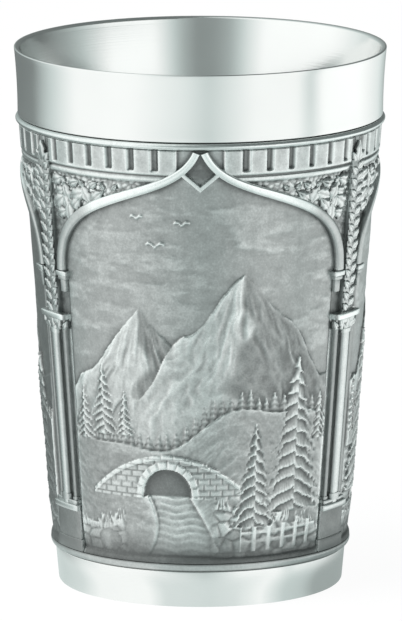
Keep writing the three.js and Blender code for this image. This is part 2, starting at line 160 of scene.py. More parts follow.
# %% The tent in numbers
# Brightness round the tent as (degrees from the camera towards the right, brightness). The outside
# of the beaker mirrors the low part of the tent, and its inside mirrors the high part.
LOW_TENT = [
    (-180, 0.22), (-130, 0.24), (-110, 0.7), (-86, 1.1), (-45, 1.12), (-10, 0.92), (5, 0.74),
    (34, 1.08), (64, 1.1), (74, 0.78), (84, 1.18), (118, 1.2), (150, 0.9), (180, 0.22),
]
HIGH_TENT = [
    (-180, 0.3), (-140, 0.72), (-118, 0.98), (-97, 1.16), (-44, 1.16), (-32, 0.86), (-20, 0.46),
    (-10, 0.34), (2, 0.31), (12, 0.5), (24, 0.95), (32, 1.2), (62, 1.22), (74, 0.94), (88, 0.64),
    (100, 0.43), (112, 0.28), (124, 0.17), (180, 0.2),
]
# Brightness from straight down to straight up, as (degrees, brightness).
TENT_HEIGHT = [(-90, 0.35), (-58, 0.6), (-30, 1.0), (35, 1.0), (90, 0.95)]
# Between these heights the low part of the tent turns into the high part.
TENT_SEAM = [(-9, 0.0), (0, 1.0)]
# A dark board hangs over the right-hand side. Its lower edge is slanted: (degrees to the right,
# degrees up).
BOARD_EDGE = [
    (-180, 90), (6, 90), (16, 24), (25, 21.5), (45, 19), (63, 16.2), (82, 13.2), (100, 10.5),
    (120, 10.5), (150, 30), (180, 90),
]
BOARD_TONE = 0.2
BOARD_SOFT = 2.5
# The white of the tent is neutral and its grey strips are cool, as (brightness, colour).
TENT_TINT = [(0.7, (0.89, 1.0, 0.98)), (1.1, (0.985, 1.0, 0.99))]
print("tent:", len(LOW_TENT), "stops low down and", len(HIGH_TENT), "higher up")

# %% [markdown]
# ## Shader nodes
#
# Light and metal are both described by a web of small nodes with sockets. Such a web could be
# drawn by hand in the shader editor. In a script, a few helpers that add a node, fill its sockets
# and hand back its output let the web read like a formula.

# %% Adding nodes and filling their sockets
def fill(tree, socket, value):
    """Put a number, a colour or a link into a socket."""
    if isinstance(value, bpy.types.NodeSocket):
        tree.links.new(value, socket)
    else:
        socket.default_value = value


def add_node(tree, kind, **inputs):
    node = tree.nodes.new("ShaderNode" + kind)
    for name, value in inputs.items():
        fill(tree, node.inputs[name], value)
    return node


def math_node(tree, operation, *values):
    node = add_node(tree, "Math")
    node.operation = operation
    for socket, value in zip(node.inputs, values):
        fill(tree, socket, value)
    return node.outputs[0]


def blend(tree, share, first, second):
    """From the first value to the second, as the share goes from 0 to 1."""
    return math_node(tree, "MULTIPLY_ADD", share, math_node(tree, "SUBTRACT", second, first), first)


def mix_shader(tree, factor, first, second):
    node = add_node(tree, "MixShader", Fac=factor)
    fill(tree, node.inputs[1], first)
    fill(tree, node.inputs[2], second)
    return node.outputs[0]


def object_place(tree):
    return add_node(tree, "TexCoord").outputs["Object"]


def empty_tree(owner):
    """Give a world or a material an empty web of nodes."""
    owner.use_nodes = True
    owner.node_tree.nodes.clear()
    return owner.node_tree


world = bpy.data.worlds.new("tent")
scene.world = world
tree = empty_tree(world)
print("world:", world.name, "with", len(tree.nodes), "nodes so far")


# %% Ramps and directions
TINT_SCALE = 0.8


def ramp_node(tree, factor, stops):
    """Greys or colours between stops, each given as (place from 0 to 1, grey or colour)."""
    node = add_node(tree, "ValToRGB", Fac=factor)
    while len(node.color_ramp.elements) < len(stops):
        node.color_ramp.elements.new(1.0)
    for element, (place, value) in zip(node.color_ramp.elements, stops):
        element.position = place
        element.color = (*value, 1) if isinstance(value, tuple) else (value, value, value, 1)
    return node.outputs["Color"]


def degree_ramp(tree, factor, span, stops):
    """A ramp with its stops in degrees, where the factor runs once over a span of degrees."""
    return ramp_node(tree, factor, [(angle / span + 0.5, value) for angle, value in stops])


def tint_node(tree, brightness):
    """The tent's colour at a brightness. A ramp ends at 1, so all is scaled down to fit in it."""
    scaled = math_node(tree, "MULTIPLY", brightness, TINT_SCALE)
    return ramp_node(tree, scaled, [(TINT_SCALE * b, colour) for b, colour in TENT_TINT])


def axes_of(tree, vector):
    return add_node(tree, "SeparateXYZ", Vector=vector).outputs


def bearing(tree, axes):
    """The direction round the beaker, in radians from the camera towards the right."""
    return math_node(tree, "ARCTAN2", axes["X"], math_node(tree, "MULTIPLY", axes["Y"], -1))


print("tints:", [colour for brightness, colour in TENT_TINT])

# %% [markdown]
# ## The world
#
# The tent is put together from ramps: one for its low part, one for its high part, one for the
# board. To the camera the world is plain white. If the camera saw the tent itself, its grey
# strips would stand in the background of the picture.

# %% World: a white tent with soft grey strips
WHITE = (1, 1, 1, 1)
axes = axes_of(tree, add_node(tree, "TexCoord").outputs["Generated"])
compass = math_node(tree, "MULTIPLY_ADD", bearing(tree, axes), 0.5 / math.pi, 0.5)
rise = math_node(tree, "ARCSINE", axes["Z"])
rise = math_node(tree, "MULTIPLY_ADD", rise, 1 / math.pi, 0.5)

low_part = degree_ramp(tree, compass, 360, LOW_TENT)
high_part = degree_ramp(tree, compass, 360, HIGH_TENT)
around = blend(tree, degree_ramp(tree, rise, 180, TENT_SEAM), low_part, high_part)
board_edge = degree_ramp(tree, compass, 360, [(a, up / 180 + 0.5) for a, up in BOARD_EDGE])
above_edge = math_node(tree, "SUBTRACT", rise, board_edge)
above_edge = math_node(tree, "MULTIPLY_ADD", above_edge, 180 / BOARD_SOFT, 0.5)
board = ramp_node(tree, above_edge, [(0.0, 0.0), (1.0, 1.0)])
around = blend(tree, board, around, BOARD_TONE)
brightness = math_node(tree, "MULTIPLY", around, degree_ramp(tree, rise, 180, TENT_HEIGHT))

tint = tint_node(tree, brightness)
tent_light = add_node(tree, "Background", Color=tint, Strength=brightness).outputs[0]
plain_white = add_node(tree, "Background", Color=WHITE).outputs[0]
camera_ray = add_node(tree, "LightPath").outputs["Is Camera Ray"]
add_node(tree, "OutputWorld", Surface=mix_shader(tree, camera_ray, tent_light, plain_white))
print("world nodes:", len(tree.nodes))

# %% [markdown]
# ## A soft box
#
# One large lamp from the upper left gives the relief its lit and its shaded flanks. A small lamp
# would draw hard shadows, so it is a wide area lamp. It is kept out of the reflections, because
# the tent already holds everything that the polish shows.

# %% Soft box
KEY_PLACE = Vector((-0.6, -0.4, 0.8))
KEY_AIM = Vector((0, 0, 0.05))
KEY_SIZE = 0.7
KEY_POWER = 6.0
key_lamp = bpy.data.lights.new("key", "AREA")
key_lamp.size = KEY_SIZE
key_lamp.energy = KEY_POWER
key = bpy.data.objects.new("key", key_lamp)
key.location = KEY_PLACE
key.rotation_euler = (KEY_AIM - KEY_PLACE).to_track_quat("-Z", "Y").to_euler()
key.visible_glossy = False
scene.collection.objects.link(key)

# %% [markdown]
# ## The white card
#
# The beaker stands on a white card. A card lit until it turns white would throw too much light on
# the beaker, so the whiteness is shown to the camera alone. A little of the card's real shade is
# mixed in, which keeps the soft shadow.

# %% Floor, as the camera sees it
FLOOR_HALF = 6.0
CARD_GREY = 0.8
CARD_GLOW = 1.055
SHADE_SHARE = 0.1
floor_mesh = bpy.data.meshes.new("floor")
bm = bmesh.new()
bmesh.ops.create_grid(bm, x_segments=1, y_segments=1, size=FLOOR_HALF)
bm.to_mesh(floor_mesh)
bm.free()
floor = bpy.data.objects.new("floor", floor_mesh)
scene.collection.objects.link(floor)
floor.visible_shadow = False
floor_card = bpy.data.materials.new("floor_card")
floor_mesh.materials.append(floor_card)
tree = empty_tree(floor_card)
lit = add_node(tree, "BsdfDiffuse", Color=(CARD_GREY, CARD_GREY, CARD_GREY, 1)).outputs[0]
glow = add_node(tree, "Emission", Color=WHITE, Strength=CARD_GLOW).outputs[0]
ray = add_node(tree, "LightPath").outputs
glow_share = math_node(tree, "MULTIPLY", ray["Is Camera Ray"], 1 - SHADE_SHARE)
card = mix_shader(tree, glow_share, lit, glow)
print("floor:", 2 * FLOOR_HALF, "m wide")

# %% [markdown]
# ## What the foot mirrors
#
# The polished foot mirrors the card close to it, lighter and darker in soft strips. Strips painted
# on the card would show in the picture, so only mirror rays meet them. Each strip is given by the
# place on the foot that mirrors it, in degrees towards the right. Further away the card lets
# mirror rays through, and the tent is mirrored in its place.

# %% Floor, as the foot mirrors it
# The strips glow for mirror rays alone: they are painted light and painted shade of the card, and
# the darker strips on the right stand for the beaker's shadow on it.
FOOT_STRIPS = [
    (-75, 0.74), (-57, 0.84), (-45, 1.08), (-21, 1.1), (-14, 0.865), (4, 0.8), (14, 0.87),
    (25, 1.075), (36, 0.7), (46, 0.62), (54, 0.42), (68, 0.42),
]
# How much of the card is mirrored, as (metres from the axis, share).
NEAR_FOOT = [(0.046, 1.0), (0.08, 0.0)]
STRIP_SPREAD = 0.85
place = object_place(tree)
length = add_node(tree, "VectorMath", Vector=place)
length.operation = "LENGTH"
distance = length.outputs["Value"]
shrink = math_node(tree, "DIVIDE", FOOT_RADIUS * MM, distance)
shrink = math_node(tree, "POWER", shrink, STRIP_SPREAD)
on_foot = math_node(tree, "MULTIPLY", bearing(tree, axes_of(tree, place)), shrink)
on_foot = math_node(tree, "MULTIPLY_ADD", on_foot, 1 / math.pi, 0.5)
strip = degree_ramp(tree, on_foot, 180, FOOT_STRIPS)
# Painted reflection: for mirror rays the card glows in these strips, in place of its real light and
# shade.
strips = add_node(tree, "Emission", Color=tint_node(tree, strip), Strength=strip).outputs[0]
open_tent = add_node(tree, "BsdfTransparent").outputs[0]
mirrored_card = mix_shader(tree, ramp_node(tree, distance, NEAR_FOOT), open_tent, strips)
shown = mix_shader(tree, ray["Is Glossy Ray"], card, mirrored_card)
add_node(tree, "OutputMaterial", Surface=shown)
print("strips on the card:", len(FOOT_STRIPS))

# %% [markdown]
# ## Pewter, in three finishes
#
# Pewter is a tin alloy: a little darker and warmer than silver, with a slight cool cast in this
# light. A finish could be painted as a picture, but a metal made of noise and of attributes of
# the mesh stays sharp at any distance and follows the relief by itself.

# %% Helpers for the metals
def new_metal(name):
    material = bpy.data.materials.new(name)
    material.use_nodes = True
    shader = material.node_tree.nodes["Principled BSDF"]
    shader.inputs["Metallic"].default_value = 1.0
    return material, material.node_tree, shader.inputs


def noise_node(tree, vector, scale, detail, roughness):
    inputs = dict(Vector=vector, Scale=scale, Detail=detail, Roughness=roughness)
    return add_node(tree, "TexNoise", **inputs).outputs["Fac"]


def bump_node(tree, height, distance, strength):
    inputs = dict(Height=height, Distance=distance, Strength=strength)
    return add_node(tree, "Bump", **inputs).outputs["Normal"]


def attribute_node(tree, name):
    node = add_node(tree, "Attribute")
    node.attribute_name = name
    return node.outputs["Fac"]


def pewter(brightness, red=0.95):
    """The colour of pewter at a brightness: a grey that is a little cool."""
    return (red * brightness, brightness, 0.99 * brightness)


print("pewter at half brightness:", pewter(0.5))

# %% [markdown]
# ## Turned pewter
#
# The cup, the foot and the base are polished on the lathe, and the tool leaves fine rings. The
# rings are a noise that reads only the radius and the height, so they run round the axis on every
# turned piece. Faint smudges of wear change the roughness, and a satin attribute dulls the inside.

# %% Turned pewter
SATIN_ROUGHNESS = 0.24
RING_SCALE, RING_DEPTH = 2600, 0.00004
SMUDGE_SCALE = 55
DULLED = 0.94


def turned_pewter(name, colour, roughness):
    """Polished metal with fine rings round the axis, duller where it is satin."""
    material, tree, inputs = new_metal(name)
    place = object_place(tree)
    axes = axes_of(tree, place)
    across = math_node(tree, "MULTIPLY", axes["X"], axes["X"])
    deep = math_node(tree, "MULTIPLY", axes["Y"], axes["Y"])
    radius = math_node(tree, "SQRT", math_node(tree, "ADD", across, deep))
    ring = add_node(tree, "CombineXYZ", X=radius, Y=axes["Z"]).outputs[0]
    lines = noise_node(tree, ring, RING_SCALE, 3.0, 0.6)
    fill(tree, inputs["Normal"], bump_node(tree, lines, RING_DEPTH, 0.12))
    smudge = noise_node(tree, place, SMUDGE_SCALE, 3.0, 0.5)
    low, high = roughness
    rough = ramp_node(tree, smudge, [(0.3, low), (0.7, high)])
    rough = blend(tree, attribute_node(tree, "satin"), rough, SATIN_ROUGHNESS)
    fill(tree, inputs["Roughness"], rough)
    dull = tuple(DULLED * c for c in colour)
    fill(tree, inputs["Base Color"], ramp_node(tree, smudge, [(0.25, dull), (0.75, colour)]))
    return material


polished_pewter = turned_pewter("polished_pewter", pewter(0.885, 0.985), (0.12, 0.19))
print("turned finish:", polished_pewter.name)

# %% [markdown]
# ## Cast pewter
#
# Cast pieces are darkened all over and then rubbed. Their colour and roughness follow an attribute
# called patina: it is 0 in the hollows, where the dark patina stays, and 1 on the high points. A
# grain of two noises breaks up the edge between dark and bright, as on a casting.

# %% Cast pewter
PATINA_STOPS = (0.0, 0.3, 0.6, 0.85, 1.0)
CLOUD_SCALE, SPECK_SCALE = 420, 2400
SPECK_DEPTH = 0.00008


def cast_pewter(name, brightness, roughness, grain):
    """Cast metal with a dark patina. The brightness goes from hollow to high point."""
    material, tree, inputs = new_metal(name)
    place = object_place(tree)
    cloud = math_node(tree, "SUBTRACT", noise_node(tree, place, CLOUD_SCALE, 3.0, 0.6), 0.5)
    speck = math_node(tree, "SUBTRACT", noise_node(tree, place, SPECK_SCALE, 2.0, 0.6), 0.5)
    worn = math_node(tree, "MULTIPLY_ADD", cloud, grain, attribute_node(tree, "patina"))
    worn = math_node(tree, "MULTIPLY_ADD", speck, grain, worn)
    colours = [(stop, pewter(b)) for stop, b in zip(PATINA_STOPS, brightness)]
    fill(tree, inputs["Base Color"], ramp_node(tree, worn, colours))
    dark, bright = roughness
    fill(tree, inputs["Roughness"], ramp_node(tree, worn, [(0.1, dark), (0.9, bright)]))
    fill(tree, inputs["Normal"], bump_node(tree, speck, SPECK_DEPTH, 0.2))
    return material


bright_pewter = cast_pewter("bright_pewter", (0.2, 0.3, 0.52, 0.78, 0.94), (0.5, 0.22), 0.2)
antique_pewter = cast_pewter("antique_pewter", (0.16, 0.25, 0.42, 0.66, 0.84), (0.48, 0.26), 0.32)
print("cast finishes:", bright_pewter.name, "and", antique_pewter.name)

# %% [markdown]
# ## Finishing a piece
#
# Every piece ends in the same way: its faces are pointed outwards, it becomes a mesh object at the
# origin, its edges are shaded smooth unless they are sharp, it rides on the root body, and the
# solids it stands for are hidden. Relief work is modelled flat, as a modeller of cast plates does,
# and is then rolled round the cone.

# %% Rolling and finishing
def bay_turn(number):
    """The angle of a bay's middle round the axis, in radians."""
    return 2 * math.pi * number / BAYS


def rolled(flat, turn):
    """Flat points (along, up, out of the ground) in mm, as points round the cup in metres."""
    along, up, out = flat.T
    angle = along / MIDDLE_RADIUS + turn
    radius = ground(up) + out
    return np.column_stack((radius * np.sin(angle), -radius * np.cos(angle), up)) * MM


def mesh_points(mesh):
    points = np.empty(3 * len(mesh.vertices))
    mesh.vertices.foreach_get("co", points)
    return points.reshape(-1, 3)


def finish_piece(name, bm, material, slot, *nodes, turn=None, sharp=40):
    bmesh.ops.recalc_face_normals(bm, faces=bm.faces)
    mesh = bpy.data.meshes.new(name)
    bm.to_mesh(mesh)
    bm.free()
    if turn is not None:
        mesh.vertices.foreach_set("co", rolled(mesh_points(mesh), turn).ravel())
    mesh.shade_smooth()
    mesh.set_sharp_from_angle(angle=math.radians(sharp))
    mesh.materials.append(material)
    piece = bpy.data.objects.new(name, mesh)
    scene.collection.objects.link(piece)
    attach(piece, "root")
    if nodes:
        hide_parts(*nodes)
    print(name, "has", sum(len(p.vertices) - 2 for p in mesh.polygons), "triangles")


print("bays at", [round(math.degrees(bay_turn(bay))) for bay in range(BAYS)], "degrees")

# %% [markdown]
# ## The turned pieces
#
# The cup, the foot band, the base disc and the two bead rings are turned on a lathe. A Screw
# modifier could turn them too. Spin is chosen, because it does in one step what the lathe does: a
# section drawn as a line of points is swept once round the axis. Rounded corners are short arcs
# in the section.

# %% Spinning a section
TURN_STEPS = 192


def arc(centre, across, up, start, end, steps=6):
    """Points of an elliptic arc in the section, from one angle in degrees to another."""
    angles = np.radians(np.linspace(start, end, steps + 1))
    return [(centre[0] + across * math.cos(a), centre[1] + up * math.sin(a)) for a in angles]


def bend(start, corner, end, steps):
    """Points of a curve between two points of the section, drawn towards a corner."""
    shares = np.linspace(0, 1, steps + 1)
    mix = [((1 - t) ** 2, 2 * t * (1 - t), t * t) for t in shares]
    return [tuple(a * s + b * c + d * e for s, c, e in zip(start, corner, end)) for a, b, d in mix]


def spun(section, closed=True):
    bm = bmesh.new()
    points = [bm.verts.new((radius * MM, 0, up * MM)) for radius, up in section]
    ends = points[1:] + points[:1] if closed else points[1:]
    lines = [bm.edges.new(pair) for pair in zip(points, ends)]
    bmesh.ops.spin(bm, geom=points + lines, cent=(0, 0, 0), axis=(0, 0, 1), dvec=(0, 0, 0),
                   angle=2 * math.pi, steps=TURN_STEPS, use_merge=True, use_duplicate=False)
    bmesh.ops.remove_doubles(bm, verts=bm.verts, dist=1e-7)
    return bm


print("steps round the axis:", TURN_STEPS)

# %% [markdown]
# ## The cup and its lip band
#
# The lip band is the polished top of the cup, which flares a little to a thin rounded rim. Inside,
# the mouth opens like a trumpet: the slope grows from the foot of the flare to the rim. A bevelled
# step would mirror as a hard line, so the mouth is drawn as two soft bends.

# %% Section of the cup
RIM_EDGE = 1.1
RIM_CORNER = 0.2
LIP_ROUNDING = 0.2
LIP_STRAIGHT = 7
FLARE_FOOT = SHOULDER - 1.3
FLARE_SLOPES = (0.25, 0.2)
THROAT_DROP = 1.5
WALL_TOP = SHOULDER - 12.3
WALL_STEPS = 8
rim_round = RIM_EDGE / 2
lip_outside = bend((LIP_RADIUS, SHOULDER + LIP_ROUNDING), (LIP_RADIUS, SHOULDER + LIP_STRAIGHT),
                   (RIM_RADIUS, HEIGHT - RIM_CORNER), 12)
rim_inside = Vector((RIM_RADIUS - RIM_EDGE, HEIGHT - rim_round))
half_flare = (rim_inside.y - FLARE_FOOT) / 2
flare_middle = rim_inside - half_flare * Vector((FLARE_SLOPES[0], 1))
flare_foot = flare_middle - half_flare * Vector((FLARE_SLOPES[1], 1))
throat = flare_foot - THROAT_DROP * Vector((FLARE_SLOPES[1], 1))
wall_heights = np.linspace(WALL_TOP, cup_low.z, WALL_STEPS + 1)
lip_corner = (LIP_RADIUS - LIP_ROUNDING, SHOULDER + LIP_ROUNDING)
corner_across = RIM_RADIUS - RIM_CORNER
cup_section = [
    (cup_inside(cup_low.z) + CUP_WALL, cup_low.z),
    (cup_inside(SHOULDER) + CUP_WALL, SHOULDER),
    *arc(lip_corner, LIP_ROUNDING, LIP_ROUNDING, -90, -12),
    *lip_outside,
    *arc((corner_across, HEIGHT - RIM_CORNER), RIM_CORNER, RIM_CORNER, 15, 90, 4),
    *arc((corner_across, HEIGHT - rim_round), RIM_EDGE - RIM_CORNER, rim_round, 90, 165, 6)[1:],
    *bend(rim_inside, flare_middle, flare_foot, 16),
    *bend(flare_foot, throat, (cup_inside(WALL_TOP), WALL_TOP), 8)[1:],
    *[(cup_inside(up), up) for up in wall_heights[1:]],
]
print("section of the cup:", len(cup_section), "points")

# %% Cup with a satin inside
SATIN_DEPTH = 14
WALL_SLACK = 0.3


def make_satin(bm, satin_share):
    """Mark how far each place of a turned piece is left satin, from 0 to 1."""
    layer = bm.verts.layers.float.new("satin")
    for vert in bm.verts:
        vert[layer] = satin_share(math.hypot(vert.co.x, vert.co.y) / MM, vert.co.z / MM)
    return bm


def satin_inside(radius, up):
    """The inner wall is satin, more and more so below the flare."""
    depth = (FLARE_FOOT - up) / SATIN_DEPTH
    return min(1.0, max(0.0, depth)) if radius < cup_inside(up) + WALL_SLACK else 0.0


cup_bm = make_satin(spun(cup_section), satin_inside)
finish_piece("cup_with_lip", cup_bm, polished_pewter, "polished_pewter", "cup_body", sharp=50)

# %% [markdown]
# ## The foot band
#
# The foot is a polished ring with a flange that reaches inwards and carries the cup. Its outside
# leans out towards the top, and its lower edge is well rounded, which gives the bright line above
# the table. It is spun from a section like the cup.

# %% Foot band
FOOT_ROUNDING = 0.7
TOP_ROUNDING = 0.3
BORE_BEVEL = 0.25
FLANGE = 1.6
FLANGE_SEAT = 1.7
flange_bore = disc_high.x - FLANGE_SEAT
foot_top = foot_high.z
foot_section = [
    (flange_bore, FLANGE),
    (flange_bore, BORE_BEVEL),
    (flange_bore + BORE_BEVEL, 0),
    *arc((FOOT_RADIUS - FOOT_ROUNDING, FOOT_ROUNDING), FOOT_ROUNDING, FOOT_ROUNDING, -90, 0),
    *arc((FOOT_TOP_RADIUS - TOP_ROUNDING, foot_top - TOP_ROUNDING), TOP_ROUNDING, TOP_ROUNDING,
         0, 90, 4),
    (ground(foot_top) - PLATE_THICKNESS, foot_top),
    (ground(FLANGE) - PLATE_THICKNESS, FLANGE),
]
foot_bm = spun(foot_section)
finish_piece("polished_foot", foot_bm, polished_pewter, "polished_pewter", "foot_band", sharp=50)

# %% [markdown]
# ## The base disc
#
# The bottom of the cup is a turned disc. A boss under it sits in the bore of the foot's flange,
# and shallow grooves are left by its turning. Its section starts and ends on the axis, so it is
# spun as an open line, and the poles close by themselves.

# %% Base disc
GROOVES = (8.0, 16.0, 22.0)
GROOVE_HALF, GROOVE_DEPTH = 0.5, 0.25
BOSS_BEVEL = 0.3
boss = flange_bore - GAP
disc_bottom, disc_top, disc_radius = disc_low.z, disc_high.z, disc_high.x
# The upper face from its edge to the axis, as (radius, depth below the top).
DISC_FACE = [
    (disc_radius, 0.4), (disc_radius - 0.4, 0.15), (disc_radius - 2.5, 0.3), (4.0, 0.3), (0, 0.25),
]
disc_section = [(0, disc_bottom)]
for groove in GROOVES:
    disc_section += [(groove - GROOVE_HALF, disc_bottom), (groove, disc_bottom + GROOVE_DEPTH),
                     (groove + GROOVE_HALF, disc_bottom)]
disc_section += [
    (boss - BOSS_BEVEL, disc_bottom),
    (boss, disc_bottom + BOSS_BEVEL),
    (boss, FLANGE + GAP),
    (disc_radius, FLANGE + GAP),
    *[(radius, disc_top - depth) for radius, depth in DISC_FACE],
]
disc_bm = make_satin(spun(disc_section, closed=False),
                     lambda radius, up: float(up > FLANGE + 2 * GAP))
finish_piece("turned_base", disc_bm, polished_pewter, "polished_pewter", "base_disc", sharp=50)

# %% [markdown]
# ## The bead rings
#
# A bead closes the relief above and below. On the real beaker its crown is rubbed bright, and the
# patina stays in the corners beside it. A torus would be round all the way, so the bead is an arc
# in a section, which can stop short where it meets its neighbour.

# %% Bead rings
BEAD_SWEEP = 62
BEAD_FULLNESS = 0.6
BEAD_FADE = 2.4
DARKEST = 0.02


def patina_layer(bm):
    return bm.verts.layers.float.get("patina") or bm.verts.layers.float.new("patina")


def paint(bm, vert, value):
    vert[patina_layer(bm)] = min(1.0, max(DARKEST, value))


def bead(name, node, low, high, end_angle, rubbed, tone):
    """A bead whose section ends at an angle above its widest place, with one part rubbed."""
    start, end = math.radians(BEAD_SWEEP), math.radians(end_angle)
    tall = (high.z - low.z) / (math.sin(start) + math.sin(end))
    widest = low.z + tall * math.sin(start)
    across = BEAD_FULLNESS * (high.x - ground(widest)) / (1 - math.cos(start))
    bm = spun([
        (ground(low.z) - PLATE_THICKNESS, low.z),
        *arc((high.x - across, widest), across, tall, -BEAD_SWEEP, end_angle, 14),
        (ground(high.z) - PLATE_THICKNESS, high.z),
    ])
    patina_layer(bm)
    for vert in bm.verts:
        share = (vert.co.z / MM - low.z) / (high.z - low.z)
        paint(bm, vert, tone - BEAD_FADE * max(0.0, rubbed[0] - share, share - rubbed[1]))
    finish_piece(name, bm, bright_pewter, "bright_pewter", node)


bead("bead_below_lip", "upper_bead_ring", upper_bead_low, upper_bead_high, BEAD_SWEEP,
     (0.1, 0.85), 0.92)
bead("bead_above_foot", "lower_bead_ring", lower_bead_low, lower_bead_high, 20, (0.2, 0.8), 0.62)

# %% [markdown]
# ## The ogee arch
#
# Each bay has a bright moulding that rises from its impost, bends inwards and turns over into a
# pointed tip. Its centre line could be traced with many points. Two Bezier curves hold it with
# seven, whose places are shares of the half span and of the rise.

# %% Line of the arch
ARCH_OFFSET = 3.7
ARCH_WIDTH = 2.1
ARCH_TIP_WIDTH = 1.5
ARCH_RISE = 27.1
TIP_HALF = 0.7
SPRING = PLATE_TOP + GAP - ARCH_RISE
ARCH_FOOT = SPRING + GAP
ARCH_TIP = PLATE_TOP - ARCH_TIP_WIDTH / 4
HALF_SPAN = BAY_HALF - ARCH_OFFSET
OGEE = [(1, 0), (1, 0.32), (0.81, 0.48), (0.64, 0.57), (0.36, 0.72), (0.11, 0.745),
        (TIP_HALF / HALF_SPAN, 1)]


def bezier(points, shares):
    t = shares[:, None]
    a, b, c, d = (np.array(p) for p in points)
    return a * (1 - t) ** 3 + 3 * b * t * (1 - t) ** 2 + 3 * c * t * t * (1 - t) + d * t ** 3


half_line = np.linspace(0, 1, 41)
ogee_shares = np.vstack((bezier(OGEE[:4], half_line), bezier(OGEE[3:], half_line)[1:]))
arch_line = ogee_shares * (HALF_SPAN, ARCH_TIP - ARCH_FOOT) + (0, ARCH_FOOT)
print("arch:", len(arch_line), "points, from", arch_line[0].round(2), "to", arch_line[-1].round(2))

# %% [markdown]
# ## A flat-topped bar
#
# The moulding has a flat crown between steep walls. A curve with a bevel would do, but its round
# section could not be rubbed in the right places. So a capped cylinder is cut into rings, the
# rings are laid along the line, and the round section is squared off.

# %% Sweeping a flat-topped bar along a line
SINK = 0.15
WALL_TONE = 0.66
ARCH_WALL_TONE = 0.84
CROWN_START, CROWN_RUN = 0.62, 0.3


def unpainted(bm):
    """The vertices that have no patina yet, which are those of the part that was added last."""
    layer = patina_layer(bm)
    return [v for v in bm.verts if v[layer] == 0]


def cushion(share):
    """A circle's coordinate squared off, which gives a round section steep walls."""
    return math.copysign(math.sqrt(abs(share)), share)


def wall_tone(out, wall=WALL_TONE):
    """Patina of a bar by its height from 0 to 1: darker on the walls and bright on the crown."""
    return wall + (1 - wall) * min(1.0, max(0.0, (out - CROWN_START) / CROWN_RUN))


def sweep(bm, line, widths, proud, tones, sides=16):
    """A capped bar along a flat line, its back sunk a little into the ground."""
    patina_layer(bm)
    tube = bmesh.ops.create_cone(bm, cap_ends=True, segments=sides, radius1=1, radius2=1, depth=1)
    around = {e for v in tube["verts"] for e in v.link_edges}
    upright = [e for e in around if abs(e.verts[0].co.z - e.verts[1].co.z) > 0.5]
    bmesh.ops.subdivide_edges(bm, edges=upright, cuts=len(line) - 2)
    along = np.gradient(line, axis=0)
    along /= np.linalg.norm(along, axis=1)[:, None]
    half = np.broadcast_to(widths, len(line)) / 2
    rubbed = np.broadcast_to(tones, len(line))
    for vert in unpainted(bm):
        row = round((vert.co.z + 0.5) * (len(line) - 1))
        side, out = cushion(vert.co.x), cushion(vert.co.y)
        place = line[row] + np.array((along[row][1], -along[row][0])) * side * half[row]
        vert.co = (*place, proud * out if out > -0.01 else -SINK)
        paint(bm, vert, rubbed[row] * wall_tone(out, ARCH_WALL_TONE))


def mirrored(line):
    return line * (-1, 1)


print("tone of a bar's wall and crown:", wall_tone(0.0), "and", wall_tone(1.0))

# %% [markdown]
# ## The arch mouldings
#
# Two swept bars meet at the tip, and a small diamond hangs below them. The legs of the arch are
# rubbed less than the part that turns over to the tip, so the tone is given along the line like
# the width.

# %% Arch mouldings, with the small diamond below their tips
ARCH_PROUD = 1.15
LEG_TONE = 0.64
DIAMOND_SHARE = 0.87
DIAMOND_DROP = 3.4
DIAMOND_WIDTH = 1.0
DIAMOND_PROUD = ARCH_PROUD - 0.1
DIAMOND_TONE = 0.88
OVERLAP = 0.2
line_shares = np.linspace(0, 1, len(arch_line))
arch_widths = np.interp(line_shares, (0, 0.5, 1), (ARCH_WIDTH, ARCH_WIDTH, ARCH_TIP_WIDTH))
arch_tones = np.interp(line_shares, (0.36, 0.46), (LEG_TONE, 1.0))
corner = arch_line[round(DIAMOND_SHARE * (len(arch_line) - 1))]
diamond_bar = np.linspace((-OVERLAP, corner[1] - DIAMOND_DROP - OVERLAP), corner, 6)
for bay in range(BAYS):
    bm = bmesh.new()
    for line in (arch_line, mirrored(arch_line)):
        sweep(bm, line, arch_widths, ARCH_PROUD, arch_tones)
    for line in (diamond_bar, mirrored(diamond_bar)):
        sweep(bm, line, DIAMOND_WIDTH, DIAMOND_PROUD, DIAMOND_TONE, sides=12)
    finish_piece(f"ogee_arch_{bay + 1}", bm, bright_pewter, "bright_pewter",
                 f"arch_moulding_{bay + 1}", turn=bay_turn(bay))

# %% [markdown]
# ## The relief plates
#
# A cast plate is a field of heights: at each place it stands so far out of its ground. It could be
# sculpted with brushes, but a script draws it more evenly. The plate starts as a fine grid, every
# motif adds to an array of heights, and the grid is then pushed out by those heights and rolled.
# The same array tells where the patina stays: a place lower than its surroundings is dark.

# %% Grid coordinates
ACROSS, UPWARD = 260, 328
COLUMN_HALF = 4.8
CLEARANCE = 0.4
SEAM_HALF = 0.6
CAPITAL_DROP = 9
CAPITAL_TOP = SPRING - CAPITAL_DROP
PLATE_HALF = BAY_HALF - SEAM_HALF - GAP
FIELD_HALF = BAY_HALF - COLUMN_HALF - CLEARANCE
FIELD_BOTTOM = PLATE_BOTTOM + CLEARANCE
FIELD_HEIGHT = SPRING - FIELD_BOTTOM
CELL_ACROSS = 2 * PLATE_HALF / ACROSS
CELL_UP = (PLATE_TOP - PLATE_BOTTOM) / UPWARD
along_line = np.linspace(-PLATE_HALF, PLATE_HALF, ACROSS + 1)
up_line = np.linspace(PLATE_BOTTOM, PLATE_TOP, UPWARD + 1)
ALONG, UP = np.meshgrid(along_line, up_line)
SIDE = np.abs(ALONG)
# The same places in shares of the half width and of the height of the field.
S = ALONG / FIELD_HALF
T = (UP - FIELD_BOTTOM) / FIELD_HEIGHT
under_arch = np.interp(UP, arch_line[:, 1], arch_line[:, 0]) - SIDE
arch_distance = np.min([np.hypot(SIDE - x, UP - z) for x, z in arch_line], axis=0)
beyond_arch = np.where(under_arch > 0, -arch_distance, arch_distance)
print("grid cell:", round(CELL_ACROSS, 2), "by", round(CELL_UP, 2), "mm")

